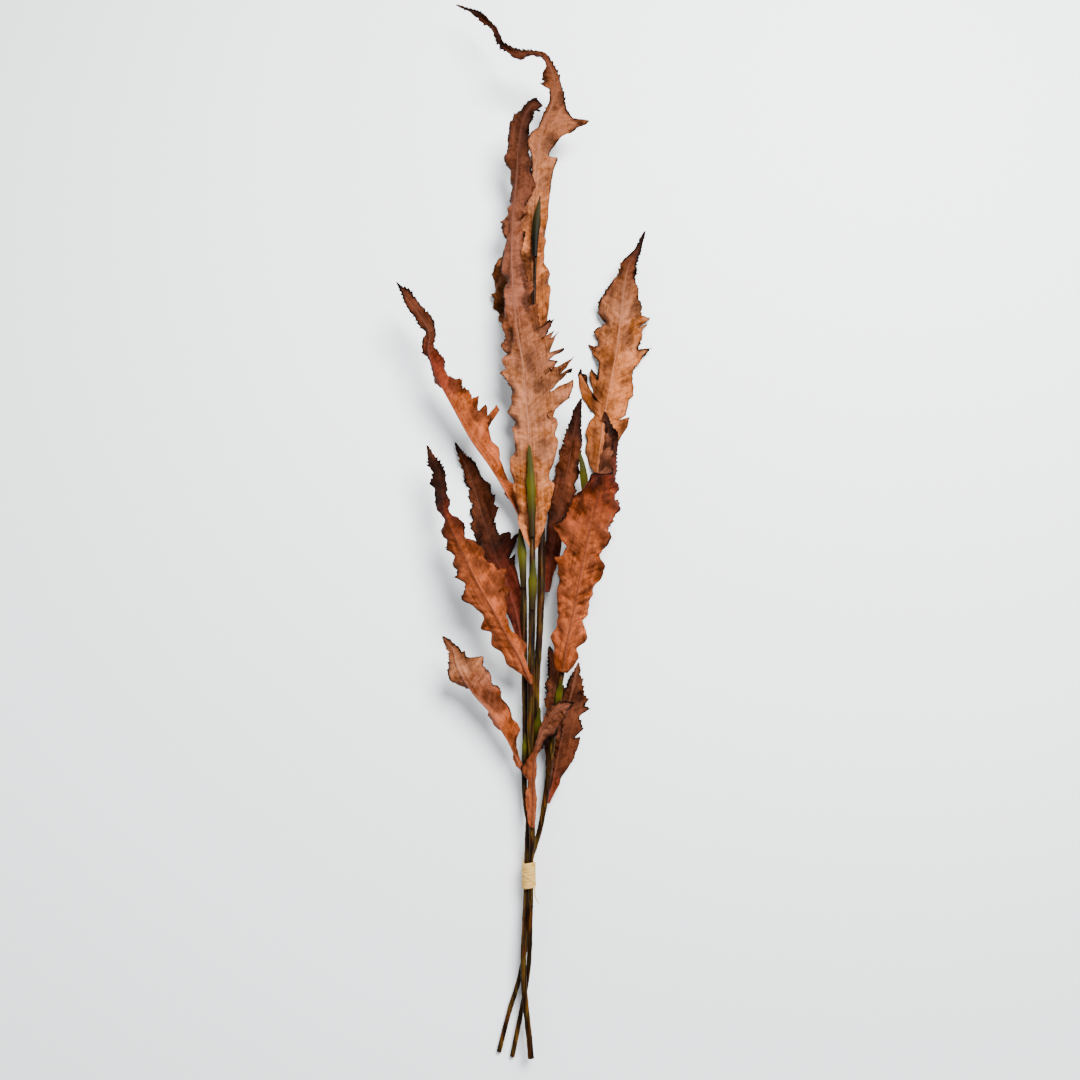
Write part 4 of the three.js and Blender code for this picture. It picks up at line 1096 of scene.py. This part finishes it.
def sheath_material(name, stops):
    """Smooth green leaf skin with fine lines along it and a soft sheen."""
    material, tree, shader = new_material(name, 0.5, 0.05)
    place = strip_place(tree, fact(tree, "flat_out"), fact(tree, "flat_along"), (1.8, 0.06, 1))
    lines = noise(tree, place, 1.0, 3.0)
    mixed = maths(tree, "MULTIPLY_ADD", lines, 0.5, fact(tree, "along"))
    tree.links.new(ramp(tree, mixed, stops), shader.inputs["Base Color"])
    add_bump(tree, shader, lines, 0.0003, 0.5)
    return material


green = sheath_material("olive green sheath", [
    (0.2, seen(50, 32, 12)), (0.5, seen(66, 55, 14)), (0.8, seen(96, 92, 20)), (1.0, seen(74, 72, 22)),
])
dark_green = sheath_material("blackened green sheath", [
    (0.1, seen(20, 14, 7)), (0.5, seen(28, 24, 10)), (0.9, seen(52, 48, 16)), (1.0, seen(58, 54, 20)),
])

for number, (name, (half_width, rib)) in enumerate(SHEATHS.items()):
    length = smooth_line(rib)[1][-1]
    edge = [
        (0, half_width * 0.6), (length * 0.3, half_width * 0.85), (length * 0.6, half_width),
        (length * 0.85, half_width * 0.5),
    ]
    bends = [
        (length * share, 0, 0, SHEATH_CURL * strength, 0, SHEATH_CURL * strength)
        for share, strength in ((0, 1), (0.6, 0.7), (1, 0))
    ]
    front, back, facts = blade(
        rib, edge, edge, bends, thickness=SHEATH_THICKNESS, seed=FIRST_SHEATH_SEED + number,
        ragged=2, ruffle=0, relief=0,
    )
    sheath = add_object("green_" + name, blade_mesh(name, front, back, facts))
    sheath.data.materials.append(dark_green if name in DARK_SHEATHS else green)
    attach(sheath, "root")
    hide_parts(name)


# Raffia tie
# One flat strand of raffia, wound eight times round the three stems and drawn under itself, with
# a loose end left at each side. Each turn lies a little differently, and one crosses the others.
TIE_TURNS = 8
TIE_TURN_WIDTH = 2.8
TIE_FOOT = 145.5
TIE_HOLE = dict(x=-0.2, z=15.5, across=5.4, high=6.9)
TIE_STEPS_A_TURN = 44
TIE_STRAND_HEIGHT = 0.55
CROSSING_STEPS = 40
STRAND_RIDGES = 5


def sweep(name, places, outward, half_width, height):
    """A flat ridged strand along a line, lying against what it is wound round."""
    columns = STRAND_RIDGES * 6
    turns = np.linspace(0, 2 * np.pi, columns, endpoint=False)
    on = unit(np.gradient(places, axis=0))
    outward = unit(outward - on * (outward * on).sum(axis=1, keepdims=True))
    across = np.cross(on, outward)
    ridges = 1 + 0.1 * np.cos(turns * STRAND_RIDGES * 2)
    wide = np.cos(turns) * half_width[:, None]
    tall = np.sin(turns) * ridges * height[:, None]
    points = places[:, None] + across[:, None] * wide[..., None] + outward[:, None] * tall[..., None]
    rows = len(places)
    number = np.arange(rows * columns).reshape(rows, columns)
    beside = np.roll(number, -1, axis=1)
    faces = np.stack([number[:-1], beside[:-1], beside[1:], number[1:]], axis=-1).reshape(-1, 4).tolist()
    faces += [number[0, ::-1].tolist(), number[-1].tolist()]
    mesh = bpy.data.meshes.new(name)
    mesh.from_pydata((points.reshape(-1, 3) - MIDDLE) * MM, [], faces)
    strand_across = mesh.attributes.new("strand_across", "FLOAT", "POINT")
    strand_across.data.foreach_set("value", np.tile(turns, rows))
    strand_along = mesh.attributes.new("strand_along", "FLOAT", "POINT")
    distance = np.concatenate([[0], np.cumsum(np.linalg.norm(np.diff(places, axis=0), axis=1))])
    strand_along.data.foreach_set("value", np.repeat(distance, columns))
    mesh.polygons.foreach_set("use_smooth", np.ones(len(mesh.polygons), bool))
    return add_object(name, mesh)


def raffia_material():
    """Straw coloured raffia: long fibres, slightly darker between them, nearly matt."""
    material, tree, shader = new_material("raffia", 0.7, 0.03)
    place = strip_place(tree, fact(tree, "strand_across"), fact(tree, "strand_along"), (3.2, 0.12, 1))
    fibres = noise(tree, place, 1.0, 4.0)
    colour = ramp(tree, fibres, [
        (0.25, seen(150, 100, 48)), (0.45, seen(222, 180, 104)), (0.7, seen(250, 220, 150)),
    ])
    tree.links.new(colour, shader.inputs["Base Color"])
    add_bump(tree, shader, fibres, 0.0003, 0.6)
    return material


def ring(angles, foot, out, slant):
    """Places on a turn round the stems, with the ways out from it."""
    x = TIE_HOLE["x"] + (TIE_HOLE["across"] + out) * np.cos(angles)
    z = TIE_HOLE["z"] + (TIE_HOLE["high"] + out) * np.sin(angles)
    places = np.stack([x, foot + slant * np.cos(angles), z], axis=-1)
    return places, np.stack([np.cos(angles), angles * 0, np.sin(angles)], axis=-1)


rng = np.random.default_rng(7)
angles = np.linspace(-0.6 * np.pi, (2 * TIE_TURNS - 0.7) * np.pi, TIE_TURNS * TIE_STEPS_A_TURN)
turned = (angles - angles[0]) / (2 * np.pi)
foot = TIE_FOOT + 1.4 + turned * TIE_TURN_WIDTH + wander(rng, 100, 1)(turned * 3) * 0.35
winding_places, winding_out = ring(angles, foot, 0.45 + 0.12 * wander(rng, 100, 1)(turned * 2), 1.2)
winding = sweep(
    "raffia_winding", winding_places, winding_out,
    1.45 + 0.3 * wander(rng, 100, 1)(turned * 4), TIE_STRAND_HEIGHT + 0.1 * wander(rng, 100, 1)(turned * 5),
)
angles = np.linspace(0.08 * np.pi, 0.95 * np.pi, CROSSING_STEPS)
rising = np.linspace(TIE_FOOT + 5, TIE_FOOT + 17, CROSSING_STEPS)
crossing_places, crossing_out = ring(angles, rising, 1.25, 0)
steady = np.ones(CROSSING_STEPS)
crossing = sweep("raffia_crossing", crossing_places, crossing_out, steady, steady * 0.35)
ENDS = [
    [(5, 152, 20), (5.2, 145, 21.2), (6, 139, 20.4), (9, 133.4, 18.4)],
    [(-4.4, 163, 20.2), (-5, 169, 21.4), (-6, 175, 22.2)],
]
ends = []
for points in ENDS:
    places, _ = smooth_line(points)
    outward = np.tile([0.3, 0.2, 1.0], (len(places), 1))
    narrowing = np.linspace(0.8, 0.35, len(places))
    ends.append(sweep("raffia_end", places, outward, narrowing, narrowing * 0.45))
join(winding, [crossing, *ends])
winding.data.materials.clear()
winding.data.materials.append(raffia_material())
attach(winding, "root")
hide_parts("raffia_tie")


# Floor and light
# A plain pale floor, with a broad soft light from the upper right and a weaker one from the left,
# as a room's windows give.
def area_light(name, place, size, power):
    """A round soft light that faces the middle of the bunch."""
    lamp = bpy.data.lights.new(name, "AREA")
    lamp.shape = "DISK"
    lamp.size = size
    lamp.energy = power
    made = add_object(name, lamp)
    made.location = place
    across = math.hypot(place[0], place[1])
    made.rotation_euler = (math.atan2(across, place[2]), 0, math.atan2(place[0], -place[1]))


FLOOR_HALF = 4.0
FLOOR_DROP = 0.0003
FLOOR_COLOUR = (0.86, 0.88, 0.9, 1)
ROOM_COLOUR = (0.93, 0.96, 1.0, 1)
ROOM_STRENGTH = 0.5
floor_mesh = bpy.data.meshes.new("floor")
floor_mesh.from_pydata([
    (-FLOOR_HALF, -FLOOR_HALF, -FLOOR_DROP), (FLOOR_HALF, -FLOOR_HALF, -FLOOR_DROP),
    (FLOOR_HALF, FLOOR_HALF, -FLOOR_DROP), (-FLOOR_HALF, FLOOR_HALF, -FLOOR_DROP),
], [], [(0, 1, 2, 3)])
floor = add_object("floor", floor_mesh)
pale, _, pale_shader = new_material("pale floor", 0.8)
pale_shader.inputs["Base Color"].default_value = FLOOR_COLOUR
floor.data.materials.append(pale)

area_light("window light", (0.5, 0.55, 1.3), 0.9, 92)
area_light("fill light", (-1.2, -0.2, 1.3), 1.4, 12)

world = bpy.data.worlds.new("room light")
world.use_nodes = True
background = world.node_tree.nodes["Background"]
background.inputs["Color"].default_value = ROOM_COLOUR
background.inputs["Strength"].default_value = ROOM_STRENGTH
bpy.context.scene.world = world
